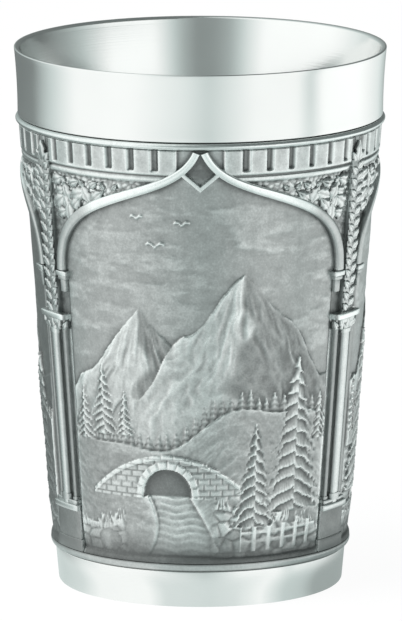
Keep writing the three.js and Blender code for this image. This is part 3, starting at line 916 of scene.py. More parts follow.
# %% [markdown]
# ## Drawing in relief
#
# A relief is two arrays: the height of each place in millimetres, and how much brighter than the
# rest it is rubbed. A motif is laid over them through a mask. The masks have soft edges, because
# molten metal never fills a mould to a knife edge.

# %% Masks
EDGE_SOFT = 0.22


def eased(share):
    return share * share * (3 - 2 * share)


def inside(distance, soft=EDGE_SOFT):
    """1 where a distance is positive, 0 where it is negative, with an edge as soft as a casting."""
    return eased(np.clip(distance / soft + 0.5, 0, 1))


def between(value, low, high, soft=EDGE_SOFT):
    return inside(value - low, soft) * inside(high - value, soft)


def below(line, soft=EDGE_SOFT):
    """1 below a line whose height is a share of the field's."""
    return inside((line - T) * FIELD_HEIGHT, soft)


def from_place(at, up):
    """Distances in mm from a place that is given in shares of the field."""
    return ALONG - at * FIELD_HALF, UP - FIELD_BOTTOM - up * FIELD_HEIGHT


in_field = inside(FIELD_HALF - SIDE)
print("share of the plate that its field takes up:", round(float(in_field.mean()), 2))

# %% Layers, grooves and blur
blank = np.zeros((2, *ALONG.shape))


def cover(relief, mask, level, tone=0.0):
    """Lay a new surface where the mask is 1: its level in mm and its rubbed tone."""
    laid = np.stack(np.broadcast_arrays(level, tone, mask)[:2])
    return relief + mask * (laid - relief)


def height_of(relief):
    """How far a relief stands out of its ground, in mm."""
    return round(float(relief[0].max()), 2)


def grooves(phase, sharpness=5):
    """Engraved lines, one for each whole number of the phase: 1 in the middle of a line."""
    return np.cos(math.pi * phase) ** (2 * sharpness)


def blurred(field, reach):
    """The field averaged over a reach in mm."""
    for axis, cell in ((0, CELL_UP), (1, CELL_ACROSS)):
        spread = reach / cell
        count = math.ceil(2.5 * spread)
        kernel = np.exp(-0.5 * (np.arange(-count, count + 1) / spread) ** 2)
        kernel /= kernel.sum()
        field = np.apply_along_axis(
            lambda line: np.convolve(np.pad(line, count, "edge"), kernel, "valid"), axis, field)
    return field


print("an edge 1 mm high, blurred over 1 mm:", blurred(1.0 * (UP > SPRING), 1.0).round(2)[::40, 0])

# %% [markdown]
# ## Irregular textures
#
# Rock, turf and rubble are never quite regular. Blender's noise textures live in materials, where
# a mesh can't read them, so the same kinds of noise are worked out here. Each takes a seed, so
# that the beaker comes out the same on every run.

# %% Random textures
LATTICE = 101


def lattice(x, y, seed):
    """Smooth random values on a unit lattice."""
    table = np.random.default_rng(seed).random((LATTICE, LATTICE))
    column, row = np.floor(x).astype(int), np.floor(y).astype(int)
    share_x, share_y = eased(x - column), eased(y - row)

    def in_row(number):
        line = table[number % LATTICE, column % LATTICE]
        return line * (1 - share_x) + table[number % LATTICE, (column + 1) % LATTICE] * share_x

    return in_row(row) * (1 - share_y) + in_row(row + 1) * share_y


def fractal(x, y, seed, octaves=3):
    total = sum(lattice(x * 2 ** k, y * 2 ** k, seed + k) / 2 ** k for k in range(octaves))
    return total / (2 - 2 ** (1 - octaves))


def ridged(x, y, seed):
    """Sharp ridges between soft valleys, from 0 to 1."""
    return 1 - np.abs(2 * fractal(x, y, seed) - 1)


def stones(x, y, seed):
    """For a rubble of stones: how far a place is from the joints, and a value for each stone."""
    table = np.random.default_rng(seed).random((3, LATTICE, LATTICE))
    nearest = np.full(x.shape, 9.0)
    second = nearest
    own = np.zeros(x.shape)
    for step_x in (-1, 0, 1):
        for step_y in (-1, 0, 1):
            column = np.floor(x).astype(int) + step_x
            row = np.floor(y).astype(int) + step_y
            at_x, at_y, value = table[:, row % LATTICE, column % LATTICE]
            distance = np.hypot(x - column - at_x, y - row - at_y)
            own = np.where(distance < nearest, value, own)
            second = np.minimum(second, np.maximum(nearest, distance))
            nearest = np.minimum(nearest, distance)
    return second - nearest, own


print("mean of a fractal:", round(float(fractal(ALONG, UP, 1).mean()), 2))

# %% [markdown]
# ## The ground of the plate
#
# Behind the foliage the ground is matted with small curls, which hold the patina. Behind the
# columns and their tips it is plain and lies lower, to give them room. The curls are the joints
# of a fine rubble, because single punched curls would cost far more cells.

# %% Ground behind the foliage and the columns
PINNACLE_HALF = 1.8
SPANDREL_DEPTH = 0.1
SEAM_DEPTH = 0.2
LEAF_FOOT = SPRING + 12
CURL = (1.15, 1.05)
FRIEZE_HEIGHT = 5.3
FRIEZE_PROUD = 0.6
frieze_low = PLATE_TOP + GAP - FRIEZE_HEIGHT
frieze_end = BAY_HALF - PINNACLE_HALF - 0.1


def draw_ground(relief):
    outside = inside(beyond_arch, 0.5) * (UP > SPRING)
    joint, own = stones(ALONG / CURL[0], UP / CURL[1], 41)
    leafy = inside(UP - LEAF_FOOT, 5)
    curls = (0.22 * np.clip(2.2 * joint, 0, 1) + 0.1 * own) * (0.3 + 0.7 * leafy)
    relief = cover(relief, outside, curls - SPANDREL_DEPTH, 0.2 * leafy + 0.08)
    behind_tip = inside(UP - frieze_low) * inside(SIDE - frieze_end)
    relief = cover(relief, behind_tip, FRIEZE_PROUD / 2, 0.35)
    diamond = inside(UP - corner[1] + DIAMOND_DROP * (1 - SIDE / corner[0])) * inside(under_arch)
    relief = cover(relief, diamond, -SPANDREL_DEPTH, -0.1)
    behind_column = inside(SIDE - FIELD_HALF - 0.2, 0.4) * (UP < SPRING)
    return cover(relief, behind_column, -SEAM_DEPTH, np.where(UP < CAPITAL_TOP, 1.6, 0.3))


print("the frieze starts", round(frieze_low, 1), "mm up")

# %% [markdown]
# ## Frieze and string course
#
# Under the upper bead runs a row of flat blocks with narrow slots between them, on a sill, and
# below it a half-round string course. All of them run on until they meet the moulding of the arch.
# They are cut from masks like the rest of the plate, so that they roll with it.

# %% Frieze, string course and the roll at the foot
SILL = 1.0
FIRST_BLOCK_EDGE = 4.3
FIRST_SLOT = 7.8
BLOCK, SLOT = 3.3, 1.12
STRING_HEIGHT = 1.5
STRING_PROUD = 0.5
ROLL_HEIGHT = 1.4
ROLL_START = 0.3


def draw_frieze(relief):
    clear = inside(frieze_end - SIDE) * inside(beyond_arch, 0.1)
    back = inside(UP - frieze_low + STRING_HEIGHT) * clear
    relief = cover(relief, back, -SPANDREL_DEPTH, 0.58)
    sill = between(UP, frieze_low, frieze_low + SILL)
    place = np.mod(SIDE - FIRST_SLOT, BLOCK + SLOT)
    block = inside(place - SLOT) * inside(BLOCK + SLOT - place + EDGE_SOFT / 2)
    block = np.maximum(block * (SIDE > FIRST_SLOT), between(SIDE, FIRST_BLOCK_EDGE, FIRST_SLOT))
    block = block * inside(UP - frieze_low - SILL / 2)
    relief = cover(relief, np.maximum(sill, block) * clear, FRIEZE_PROUD, 0.05)
    middle = frieze_low - STRING_HEIGHT / 2
    crown = np.sqrt(np.clip(1 - ((UP - middle) / (STRING_HEIGHT / 2)) ** 2, 0, 1))
    return cover(relief, (crown > 0) * clear, STRING_PROUD * crown, 0.12)


def draw_roll(relief):
    """A dark quarter-round along the foot of the plate, which carries on the bead's curve."""
    share = np.clip((UP - PLATE_BOTTOM) / ROLL_HEIGHT, 0, 1)
    rise = ROLL_START + (1 - ROLL_START) * share
    crown = (lower_bead_high.x - ground(PLATE_BOTTOM)) * np.sqrt(1 - rise * rise)
    place = inside(PLATE_BOTTOM + ROLL_HEIGHT - UP, 0.5) * in_field
    return cover(relief, place, crown, 0.35 * share - 0.8)


print("frieze proud of the wall:", height_of(draw_frieze(blank)), "mm")

# %% [markdown]
# ## Landscape: sky and mountains
#
# The field of each plate holds a landscape in four layers, the nearer the higher. The sky is the
# bare ground with faint clouds and a few birds. On a mountain, gullies and ribs run down from the
# peak, and the flank away from the light is sunk a little and painted darker, as painted shade.
# Ridged noise that fans out from the peak gives the gullies and ribs their look, where plain noise
# would look like sponge.

# %% Sky and mountains
FAR, MIDDLE, NEAR, FIR = 0.25, 0.45, 0.65, 0.9


def draw_sky(relief, seed, birds):
    drift = fractal(ALONG / 10 + seed, UP / 3.4, seed, 4)
    high_up = inside((T - 0.72) * FIELD_HEIGHT, 6) * inside(under_arch - 1.5, 2)
    cloud = inside((drift - 0.56) * 7, 1.6) * high_up
    billow = lattice(ALONG / 1.9, UP / 1.3, seed + 3)
    relief = relief + np.stack((0.12 * cloud * (0.6 + 0.4 * billow), 0.04 * cloud))
    for at, up, wing in birds:
        x, y = from_place(at, up)
        x = np.abs(x)
        line = 0.5 * wing * np.sin(np.clip(x / wing, 0, 1) * 2.4)
        relief = cover(relief, inside(0.22 - np.abs(y - line), 0.2) * inside(wing - x), 0.3, 0.2)
    return relief


def draw_mountains(relief, peaks, seed):
    haze = 0.6 + 0.03 * np.sin(7 * S + seed) + 0.02 * fractal(9 * S, 0 * S, seed)
    relief = cover(relief, below(haze), 0.1, -0.05)
    for number, (at, top) in enumerate(peaks):
        slope = top - (0.58 + 0.05 * np.sin(15 * S + number)) * np.abs(S - at)
        slope = slope + 0.022 * (fractal(14 * S, 14 * T, seed + number) - 0.5)
        drop = np.maximum(top - T, 0.005)
        fan = (S - at) / (drop + 0.05)
        warp = 0.5 * fractal(4 * S, 5 * T, seed + number)
        ribs = ridged(3.6 * fan + 4 * warp, 5.5 * drop + warp, seed + 9 * number)
        crags = ridged(11 * S + warp, 13 * T, seed + 4)
        ridge_line = 0.22 * np.sin(17 * drop + seed) + 0.12 * np.sin(41 * drop)
        # The flank right of the zigzag ridge faces away from the light: it is sunk a little, and
        # its tone is painted darker, as painted shade.
        shade = inside(fan - ridge_line, 0.35)
        strength = np.clip(7 * drop, 0.3, 1)
        rock = strength * (0.36 * (ribs - 0.5) + 0.16 * (crags - 0.5))
        relief = cover(relief, below(slope), FAR - 0.05 + rock - 0.1 * shade, 0.16 - 0.34 * shade)
    return relief


print("levels of the layers in mm:", FAR, MIDDLE, NEAR, FIR)

# %% [markdown]
# ## Landscape: hills, woods and the near bank
#
# The middle distance is a line of hills with a ragged wood behind it, and the near bank is a
# rubble of stones with tufts of grass and a few rocks. Each edge is a sum of two waves, which a
# shift slides along, so that the three plates share the drawing and still differ.

# %% Hills and woods
def hill_line(shift):
    return 0.47 + 0.08 * np.sin(3.2 * S + shift) + 0.02 * np.sin(8.6 * S)


def draw_wood(relief, shift, seed):
    """A distant wood along the foot of the mountains: a ragged row of bright tree tops."""
    foot = hill_line(shift) - 0.02
    tall = 0.06 + 0.07 * fractal(2.2 * S + seed, 0 * S, seed, 2)
    step = ALONG / 1.9 + 0.3 * lattice(ALONG / 3, 0 * ALONG, seed)
    tip = 1 - 2 * np.abs(np.mod(step, 1) - 0.5)
    size = 0.55 + 0.45 * lattice(np.floor(step) + 0.5, 0 * S, seed + 2)
    top = foot + tall * size * (0.35 + 0.65 * tip)
    mask = below(top, 0.3) * inside((T - foot) * FIELD_HEIGHT + 1.5)
    boughs = grooves(UP / 1.1 + 0.9 * np.abs(np.mod(step, 1) - 0.5), 2)
    return cover(relief, mask, MIDDLE - 0.12 + 0.22 * tip - 0.12 * boughs, -0.12)


def draw_hills(relief, shift, seed):
    fold = fractal(3 * S, 9 * T, seed)
    depth = (hill_line(shift) - T) * FIELD_HEIGHT
    swell = ridged(ALONG / 9 + fold, depth / 2.6 + 0.8 * fold, seed + 6)
    turf = fractal(ALONG / 0.9, depth / 0.6, seed + 8, 2)
    level = MIDDLE - 0.14 + 0.22 * fold + 0.16 * swell + 0.1 * turf
    return cover(relief, inside(depth), level, 0.08 * np.sin(4 * S + 2) - 0.02)


print("hills up to", round(float(hill_line(0).max()), 2), "of the height of the field")


# %% The near bank
def bank_line(shift):
    return 0.15 + 0.05 * np.cos(2.6 * S + shift) + 0.013 * np.sin(10.8 * S)


def draw_bank(relief, shift, seed):
    joint, own = stones(ALONG / 3.3, UP / 2.2, seed)
    crown = np.clip(2.4 * joint, 0, 1) ** 0.6
    level = NEAR - 0.22 + 0.34 * crown + 0.14 * own
    return cover(relief, below(bank_line(shift)), level, 0.2 * (own - 0.5))


def draw_grass(relief, shift, seed):
    """Tufts of blades along the edge of the bank, each blade leaning a little."""
    edge = bank_line(shift) * FIELD_HEIGHT + FIELD_BOTTOM
    y = UP - edge + 1.2
    lean = ALONG + 0.35 * y * np.sin(ALONG * 1.7 + seed)
    tall = 1.2 + 3.2 * fractal(ALONG / 2.3, 0 * UP, seed, 2)
    blade = np.abs(np.mod(lean / 0.95, 1) - 0.5) * 0.95
    mask = inside(0.34 * (1 - y / tall) - blade, 0.2) * between(y, 0, tall) * in_field
    return cover(relief, mask, NEAR + 0.15, 0.15)


def draw_rocks(relief, rocks):
    facets = 0.2 * ridged(ALONG / 2.4, UP / 2.4, 5)
    for at, foot, wide in rocks:
        x, y = from_place(at, foot)
        x, y = x / wide, y / (0.75 * wide)
        dome = 1 - np.hypot(x, y) - facets
        level = NEAR + 0.45 * np.sqrt(np.clip(dome, 0, 1)) - 0.5 * facets
        # Each rock's tone is painted a little lighter on its left half and darker on its right
        # half, as painted light and shade.
        relief = cover(relief, inside(dome * wide), level, 0.1 - 0.12 * inside(x))
    return relief


print("bank up to", round(float(bank_line(0).max()), 2), "of the height of the field")

# %% [markdown]
# ## Landscape: trees
#
# A fir has drooping boughs in tiers, those on the right half a step higher than those on the left,
# ragged at their tips. A broad tree has a crown of rounded clumps, each laid over those behind it
# and matted with leaves, and each painted lighter at its upper left and darker at its lower right,
# as painted light and shade. Both are formulas of the distance from their foot, so one function
# draws them at any size.

# %% Fir
def draw_fir(relief, at, foot, tall_share, seed):
    tall = tall_share * FIELD_HEIGHT
    x, y = from_place(at, foot)
    sway = 0.9 * (fractal(ALONG / 2.5, UP / 2.5, seed, 2) - 0.5)
    x = x + 0.5 * sway
    rise = (y / tall - 0.08) / 0.92
    half_step = 0.5 * inside(x, 0.5)
    droop = np.abs(x) / (0.24 * tall)
    tiers = 5 + round(13 * tall_share)
    tier = np.mod(rise * tiers + 1.2 * droop + half_step + 0.5 * sway, 1)
    reach = tall * 0.19 * np.clip(1 - rise, 0, 1) ** 0.9 * (1.2 - 0.5 * tier) + 0.12
    ragged = reach * (1 + 0.4 * (lattice(x * 2.3 + seed, y * 1.5, seed) - 0.5))
    boughs = inside(ragged - np.abs(x)) * between(y, 0.08 * tall, tall)
    trunk = inside(tall * 0.025 - np.abs(x)) * between(y, 0, 0.2 * tall)
    belly = np.clip(1 - np.abs(x) / np.maximum(reach, 0.2), 0, 1)
    needles = grooves(x / 0.8 + 0.5 * y + 2 * sway, 2)
    level = FIR * (0.5 + 0.4 * belly) + 0.1 - 0.3 * tier - 0.1 * needles * (1 - tier)
    relief = cover(relief, trunk, FIR * 0.6)
    return cover(relief, boughs, level, 0.1 - 0.3 * tier)


print("a fir stands", height_of(draw_fir(blank, 0, 0.1, 0.4, 1)), "mm proud")

# %% Broad tree
CLUMPS = 12


def draw_broadleaf(relief, at, foot, tall_share, seed):
    tall = tall_share * FIELD_HEIGHT
    x, y = from_place(at, foot)
    lean = 0.9 * np.sin(y / tall * 3)
    stem = tall * (0.055 - 0.03 * y / tall)
    trunk = inside(stem - np.abs(x - lean)) * between(y, 0, 0.7 * tall)
    relief = cover(relief, trunk, FIR * 0.8 - 0.12 * grooves(x * 1.6), 0.05)
    leaf = lattice(x / 0.6, y / 0.5, seed + 9)
    for number in range(CLUMPS):
        reach = 0.27 * tall * math.sqrt(1 - number / CLUMPS)
        side = x - reach * math.cos(2.4 * number)
        rise = y - 0.68 * tall - 0.85 * reach * math.sin(2.4 * number)
        ragged = 1 + 0.5 * (lattice(x / 1.1, y / 1.1, seed + number) - 0.5)
        dome = 1 - np.hypot(side, rise) / (0.13 * tall * ragged)
        level = FIR * (0.5 + 0.4 * np.sqrt(np.clip(dome, 0, 1))) + 0.3 * (leaf - 0.5)
        # Each clump's tone is painted lighter towards its upper left and darker towards its lower
        # right, as painted light and shade.
        light = 0.1 * (rise - side) / (0.13 * tall)
        relief = cover(relief, inside(3 * dome, 0.3), level, light - 0.04)
    return relief


print("a tree stands", height_of(draw_broadleaf(blank, 0, 0.1, 0.4, 1)), "mm proud")

# %% [markdown]
# ## Landscape: water, path and works
#
# Water is low and rippled, with a brighter tone than the land. The path narrows as it climbs,
# which gives the plate its depth. The bridge, the fence and the boat are built from plain masks,
# like cut paper, and then engraved with joints, rails or planks.

# %% Water and path
def draw_stream(relief, at, source, shift):
    drop = np.clip(source - T, 0, 1)
    middle = at + 0.12 * np.sin(9 * drop + shift)
    width = 0.15 + 0.55 * drop * drop / source
    mask = inside((width - np.abs(S - middle)) * FIELD_HALF, 0.5) * below(source)
    ripple = np.sin(UP * 4.2 + 1.3 * np.sin(ALONG * 0.9)) * fractal(ALONG, UP * 2, 31)
    return cover(relief, mask, 0.14 + 0.1 * ripple, 0.18)


def draw_lake(relief, low, high):
    mask = between(T * FIELD_HEIGHT, low * FIELD_HEIGHT, high * FIELD_HEIGHT) * in_field
    ripple = np.sin(UP * 3.6 + 0.8 * np.sin(ALONG * 0.7) + 3 * fractal(ALONG / 6, UP / 2, 77))
    return cover(relief, mask, 0.16 + 0.05 * ripple, 0.15)


def draw_path(relief, start, end, foot, head):
    rise = np.clip((T - foot) / (head - foot), 0, 1)
    middle = start + (end - start) * rise + 0.16 * np.sin(7 * rise)
    width = 0.2 * (1 - rise) ** 1.4 + 0.018
    mask = inside((width - np.abs(S - middle)) * FIELD_HALF, 0.4)
    mask = mask * between(T, foot - 0.1, head, 0.004)
    joint, own = stones(ALONG / 1.7, UP / 1.1, 13)
    level = MIDDLE + 0.12 * np.clip(2 * joint, 0, 1)
    return cover(relief, mask, level, 0.12 + 0.15 * (own - 0.5))


print("water stands", height_of(draw_lake(blank, 0.1, 0.3)), "mm proud")


# %% Bridge, fence and boat
def draw_bridge(relief, at, foot):
    x, y = from_place(at, foot)
    deck = 8.4 - 5.2 * (x / 14) ** 2
    body = inside(17.4 - np.abs(x)) * between(y, -0.6 * inside(np.abs(x) - 5, 3), deck)
    span = np.hypot(x, y * 0.95)
    opening = inside(5.2 - span) * inside(y + 1)
    course = np.floor(y / 1.25)
    uprights = grooves((x + 1.3 * np.mod(course, 2)) / 2.6 + 0.5, 16)
    joints = np.maximum(grooves(y / 1.25, 10), uprights)
    ring = inside(0.75 - np.abs(span - 6.0))
    spokes = grooves(np.degrees(np.arctan2(y, x)) / 18, 14)
    coping = inside(0.6 - np.abs(y - deck + 0.4))
    level = 0.62 - 0.18 * joints * (1 - ring) + ring * (0.16 - 0.2 * spokes) + 0.22 * coping
    # The opening under the arch of the bridge is sunk, and its tone is painted darker, as painted
    # shade.
    relief = cover(relief, opening * body, 0.05, -0.3)
    return cover(relief, body * (1 - opening), level, 0.12)


def draw_fence(relief, start, end, foot):
    x = (S - start) / (end - start)
    y = from_place(0, foot)[1] - 0.5 * x
    span = between(x * FIELD_HALF, 0, FIELD_HALF)
    rails = np.maximum(inside(0.35 - np.abs(y - 2.1)), inside(0.35 - np.abs(y - 3.9)))
    relief = cover(relief, rails * span, NEAR + 0.2, 0.15)
    post = inside(0.5 - np.abs(np.mod(ALONG, 3.4) - 1.7)) * between(y, 0, 5.2) * span
    return cover(relief, post, NEAR + 0.32, 0.2)


def draw_boat(relief, at, foot):
    x, y = from_place(at, foot)
    hull = inside(6.5 + 0.35 * y - np.abs(x)) * between(y, 0, 2.4 + 0.012 * x * x)
    relief = cover(relief, hull, 0.72 - 0.14 * grooves(y / 0.8), -0.05)
    belly = 0.55 + 0.14 * np.sin(np.clip(x, -6, 9) * 0.45) - 0.08 * grooves(y / 2.4)
    sail = inside(np.minimum(x - 0.5, 8.4 - 0.55 * (y - 3.4) - x)) * inside(y - 3.4)
    jib = inside(np.minimum(-0.5 - x, x + 5.6 - 0.46 * (y - 3.4))) * inside(y - 3.4)
    relief = cover(relief, np.maximum(sail, jib), belly, 0.2)
    return cover(relief, inside(0.28 - np.abs(x)) * between(y, 2, 17), 0.8, 0.1)


print("the bridge stands", height_of(draw_bridge(blank, 0, 0.2)), "mm proud")

# %% [markdown]
# ## The three views
#
# Each plate shows another landscape. What a view holds is a small table, in shares of the half
# width and of the height of its field, and one function draws it from the back to the front, so
# that nearer things cover those behind them. Towards the foot the relief sinks and darkens.

# %% Views: what each plate shows
VIEWS = [
    dict(shift=0.0, seed=11, peaks=[(-0.42, 0.9), (0.3, 1.03)],
         birds=[(-0.3, 1.12, 1.8), (-0.12, 1.2, 1.5), (-0.42, 1.22, 1.2)],
         far_firs=[(-0.55, 0.43, 0.17), (-0.9, 0.4, 0.2), (0.93, 0.4, 0.18), (-0.72, 0.42, 0.27)],
         stream=(-0.24, 0.245), bridge=(-0.24, 0.235),
         rocks=[(-0.72, 0.06, 3.6), (-0.52, 0.02, 2.4)],
         firs=[(0.4, 0.09, 0.4), (0.72, 0.12, 0.6)], fence=(0.3, 0.95, 0.03)),
    dict(shift=-0.7, seed=23, peaks=[(0.5, 0.86), (-0.2, 1.0)],
         birds=[(0.3, 1.14, 1.7), (0.46, 1.05, 1.3)],
         far_firs=[(0.84, 0.38, 0.2), (0.5, 0.41, 0.16), (-0.95, 0.38, 0.2), (0.66, 0.4, 0.28)],
         lake=(0.13, 0.34), boat=(0.3, 0.2), rocks=[(0.1, 0.04, 2.6), (0.72, 0.05, 3.6)],
         firs=[(-0.36, 0.08, 0.38), (-0.7, 0.12, 0.62)]),
    dict(shift=0.6, seed=37, peaks=[(-0.6, 0.84), (0.05, 1.05)],
         birds=[(-0.35, 1.1, 1.6), (-0.2, 1.17, 1.3), (0.4, 1.15, 1.4)],
         far_firs=[(0.3, 0.42, 0.15), (0.62, 0.42, 0.18)],
         path=(0.02, -0.3, 0.02, 0.5), rocks=[(0.2, 0.03, 2.4), (-0.2, 0.02, 1.8)],
         broadleaf=(-0.42, 0.08, 0.4),
         firs=[(0.44, 0.1, 0.33), (0.76, 0.12, 0.54), (-0.76, 0.1, 0.46)],
         fence=(-0.2, 0.35, 0.1)),
]
print("views:", [sorted(set(view) - {"shift", "seed"}) for view in VIEWS])

# %% Drawing a view from the back to the front
STREAM_BED = 0.34


def draw_view(relief, view):
    shift, seed = view["shift"], view["seed"]

    def with_motif(field, motif, draw, *more):
        return draw(field, *view[motif], *more) if motif in view else field

    def with_firs(field, firs, seed_step):
        for at, foot, tall in firs:
            field = draw_fir(field, at, foot, tall, seed + round(seed_step * tall))
        return field

    relief = draw_sky(relief, seed, view["birds"])
    field = draw_mountains(relief, view["peaks"], seed)
    field = draw_hills(draw_wood(field, shift, seed), shift, seed)
    field = with_motif(field, "lake", draw_lake)
    field = with_firs(field, view["far_firs"], 40)
    field = with_motif(field, "path", draw_path)
    field = with_motif(field, "stream", draw_stream, shift)
    field = with_motif(field, "bridge", draw_bridge)
    field = with_motif(field, "boat", draw_boat)
    near = draw_grass(draw_bank(field, shift, seed), shift, seed)
    near = draw_rocks(near, view["rocks"])
    dry = 1.0
    if "stream" in view:
        dry = inside((np.abs(S - view["stream"][0]) - STREAM_BED) * FIELD_HALF, 2)
    field = field + dry * (near - field)
    field = with_motif(field, "broadleaf", draw_broadleaf, seed)
    field = with_firs(field, view["firs"], 100)
    field = with_motif(field, "fence", draw_fence)
    field[0] *= 0.45 + 0.55 * inside(UP - FIELD_BOTTOM - 5.5, 9)
    field[1] -= 0.3 * inside(FIELD_BOTTOM + 4 - UP, 6)
    edge = in_field * np.maximum(UP < SPRING, inside(under_arch))
    return relief + edge * (field - relief)


print("the first view stands", height_of(draw_view(blank, VIEWS[0])), "mm proud")

# %% [markdown]
# ## Patina from the heights
#
# After casting, the plate is darkened and its high points are rubbed. So a place is dark where it
# lies low among its neighbours, with the mouldings and columns counted among them. Blender can
# bake such hollows as ambient occlusion, but comparing the heights with a blurred copy of them is
# quicker, and it is the same on every run.

# %% Patina
MOULDING_SHADE, PINNACLE_SHADE = 0.4, 0.5
FINE_REACH, BROAD_REACH = 0.45, 1.5


def patina_of(relief):
    height, tone = relief
    moulding = MOULDING_SHADE * inside(ARCH_WIDTH / 2 - arch_distance) * (UP > SPRING)
    column = inside(SIDE - BAY_HALF + COLUMN_HALF - 0.4) * (UP < CAPITAL_TOP)
    pinnacle = PINNACLE_SHADE * inside(SIDE - BAY_HALF + PINNACLE_HALF)
    around = np.max([height, moulding, MOULDING_SHADE * column, pinnacle], axis=0)
    fine = height - blurred(around, FINE_REACH)
    broad = height - blurred(around, BROAD_REACH)
    return np.clip(0.6 + 1.8 * fine + 0.9 * broad + tone, DARKEST, 1)


print("patina of the bare ground:", round(float(np.median(patina_of(blank))), 2))

# %% [markdown]
# ## The slab
#
# A plate needs a fine front but only a plain back. Two fine faces would double the triangles, so
# the grid is extruded to a slab, and most edges of its back are dissolved. The slab stays closed,
# and a copy of it serves each plate.

# %% A closed slab for the plates
BACK_CELL = 20


def give_back(bm, faces):
    """Extrude faces to a slab. The fronts lie at 0 and the backs at -1."""
    made = bmesh.ops.extrude_face_region(bm, geom=faces, use_keep_orig=True)["geom"]
    for vert in made:
        if isinstance(vert, bmesh.types.BMVert):
            vert.co.z = -1


def is_spare(edge):
    """Whether an edge of the slab's back lies between the wide cells."""
    first, second = (v.co for v in edge.verts)
    if first.z > -0.5 or second.z > -0.5:
        return False
    upright = abs(first.x - second.x) < 1e-6
    place = (first.x + 1) / 2 * ACROSS if upright else (first.y + 1) / 2 * UPWARD
    last = ACROSS if upright else UPWARD
    return 0.5 < place < last - 0.5 and round(place) % BACK_CELL != 0


slab = bmesh.new()
bmesh.ops.create_grid(slab, x_segments=ACROSS, y_segments=UPWARD, size=1)
give_back(slab, slab.faces[:])
bmesh.ops.dissolve_edges(slab, edges=[e for e in slab.edges if is_spare(e)], use_verts=True)
print("slab:", len(slab.verts), "corners,", len(slab.faces), "faces")

# %% [markdown]
# ## Building the plates
#
# The plates are cast pieces that meet under the columns. Each is a copy of the slab whose front is
# pushed out by the heights and painted with the patina. A Displace modifier could push it out as
# well, but it would need an image, and the script needs the heights for the patina anyway.

# %% Relief plates
BACK_TONE = 0.3
CASTING_WAVE = 0.05


def relief_plate(bay):
    relief = draw_view(draw_ground(blank), VIEWS[bay])
    relief = draw_roll(draw_frieze(relief))
    relief[0] += CASTING_WAVE * (fractal(ALONG * 0.8, UP * 0.8, 3) - 0.5)
    patina = patina_of(relief)
    bm = slab.copy()
    layer = patina_layer(bm)
    for vert in bm.verts:
        column = round((vert.co.x + 1) / 2 * ACROSS)
        row = round((vert.co.y + 1) / 2 * UPWARD)
        is_front = vert.co.z > -0.5
        vert[layer] = patina[row, column] if is_front else BACK_TONE
        out = relief[0, row, column] if is_front else -PLATE_THICKNESS
        vert.co = (along_line[column], up_line[row], out)
    finish_piece(f"relief_{bay + 1}", bm, antique_pewter, "antique_pewter",
                 f"relief_plate_{bay + 1}", turn=bay_turn(bay), sharp=180)


for bay in range(BAYS):
    relief_plate(bay)
slab.free()

# %% [markdown]
# ## Leaves
#
# Carved foliage fills the corners beside the arch and climbs the pinnacles. The grid of the plate
# is too coarse for it, so leaves are pieces of their own. One leaf is a small grid, narrowed to a
# lobed outline, hollowed along its vein and curled up at its tip, and then given a back. The same
# leaf, turned and sized, makes all the foliage.

# %% One leaf
LEAF_TONE = 0.9


def add_leaf(bm, foot, angle, length, width, lift, base=0.0):
    """A curled, lobed leaf on flat ground; the angle is in degrees from along the plate."""
    patina_layer(bm)
    blade = bmesh.ops.create_grid(bm, x_segments=8, y_segments=6, size=1)["verts"]
    give_back(bm, list({f for v in blade for f in v.link_faces}))
    turn = math.radians(angle)
    for vert in unpainted(bm):
        p, q = (vert.co.x + 1) / 2, vert.co.y
        is_back = vert.co.z < -0.5
        lobes = 1 + 0.22 * math.cos(6 * math.pi * p)
        side = q * width / 2 * (math.sin(math.pi * (0.06 + 0.9 * p) ** 0.8) * lobes)
        crown = 0.45 + 0.55 * math.sin(math.pi * p) + 0.35 * p * p
        vein = 0.22 * max(0.0, 1 - 5 * abs(q))
        run = length * p
        vert.co.x = foot[0] + run * math.cos(turn) - side * math.sin(turn)
        vert.co.y = foot[1] + run * math.sin(turn) + side * math.cos(turn)
        vert.co.z = base + (-SINK if is_back else lift * (crown - 0.5 * q * q - vein))
        paint(bm, vert, BACK_TONE if is_back else LEAF_TONE - 0.5 * abs(q) ** 3 - 1.4 * vein)


trial = bmesh.new()
add_leaf(trial, (0, 0), 90, 4, 2.6, 0.7)
print("one leaf:", len(trial.faces), "faces")
trial.free()

# %% [markdown]
# ## Foliage beside the arch
#
# The corners between the arch, the string course and the pinnacle are full of leaves. They could
# be scattered at random, but carved foliage grows in order: it fans out from the string course in
# staggered rows, and only the angle and the length of each leaf vary a little. The left side
# mirrors the right.

# %% Foliage in the corners beside the arch
LEAF_GAP = 2.2
LEAF_LENGTH = 4.2
SHORTEST_LEAF = 1.8
LEAF_SLENDER = 0.66
SPANDREL_END = BAY_HALF - PINNACLE_HALF - 1.2
SPANDREL_TOP = frieze_low - STRING_HEIGHT - 0.3


def beside_arch(height):
    """How far from the middle of the bay the moulding reaches, above a height."""
    reach = ARCH_WIDTH / 2 + CLEARANCE
    heading = np.gradient(arch_line, axis=0)
    heading /= np.linalg.norm(heading, axis=1)[:, None]
    edge = arch_line + reach * np.column_stack((heading[:, 1], -heading[:, 0]))
    return edge[edge[:, 1] > height, 0].max()


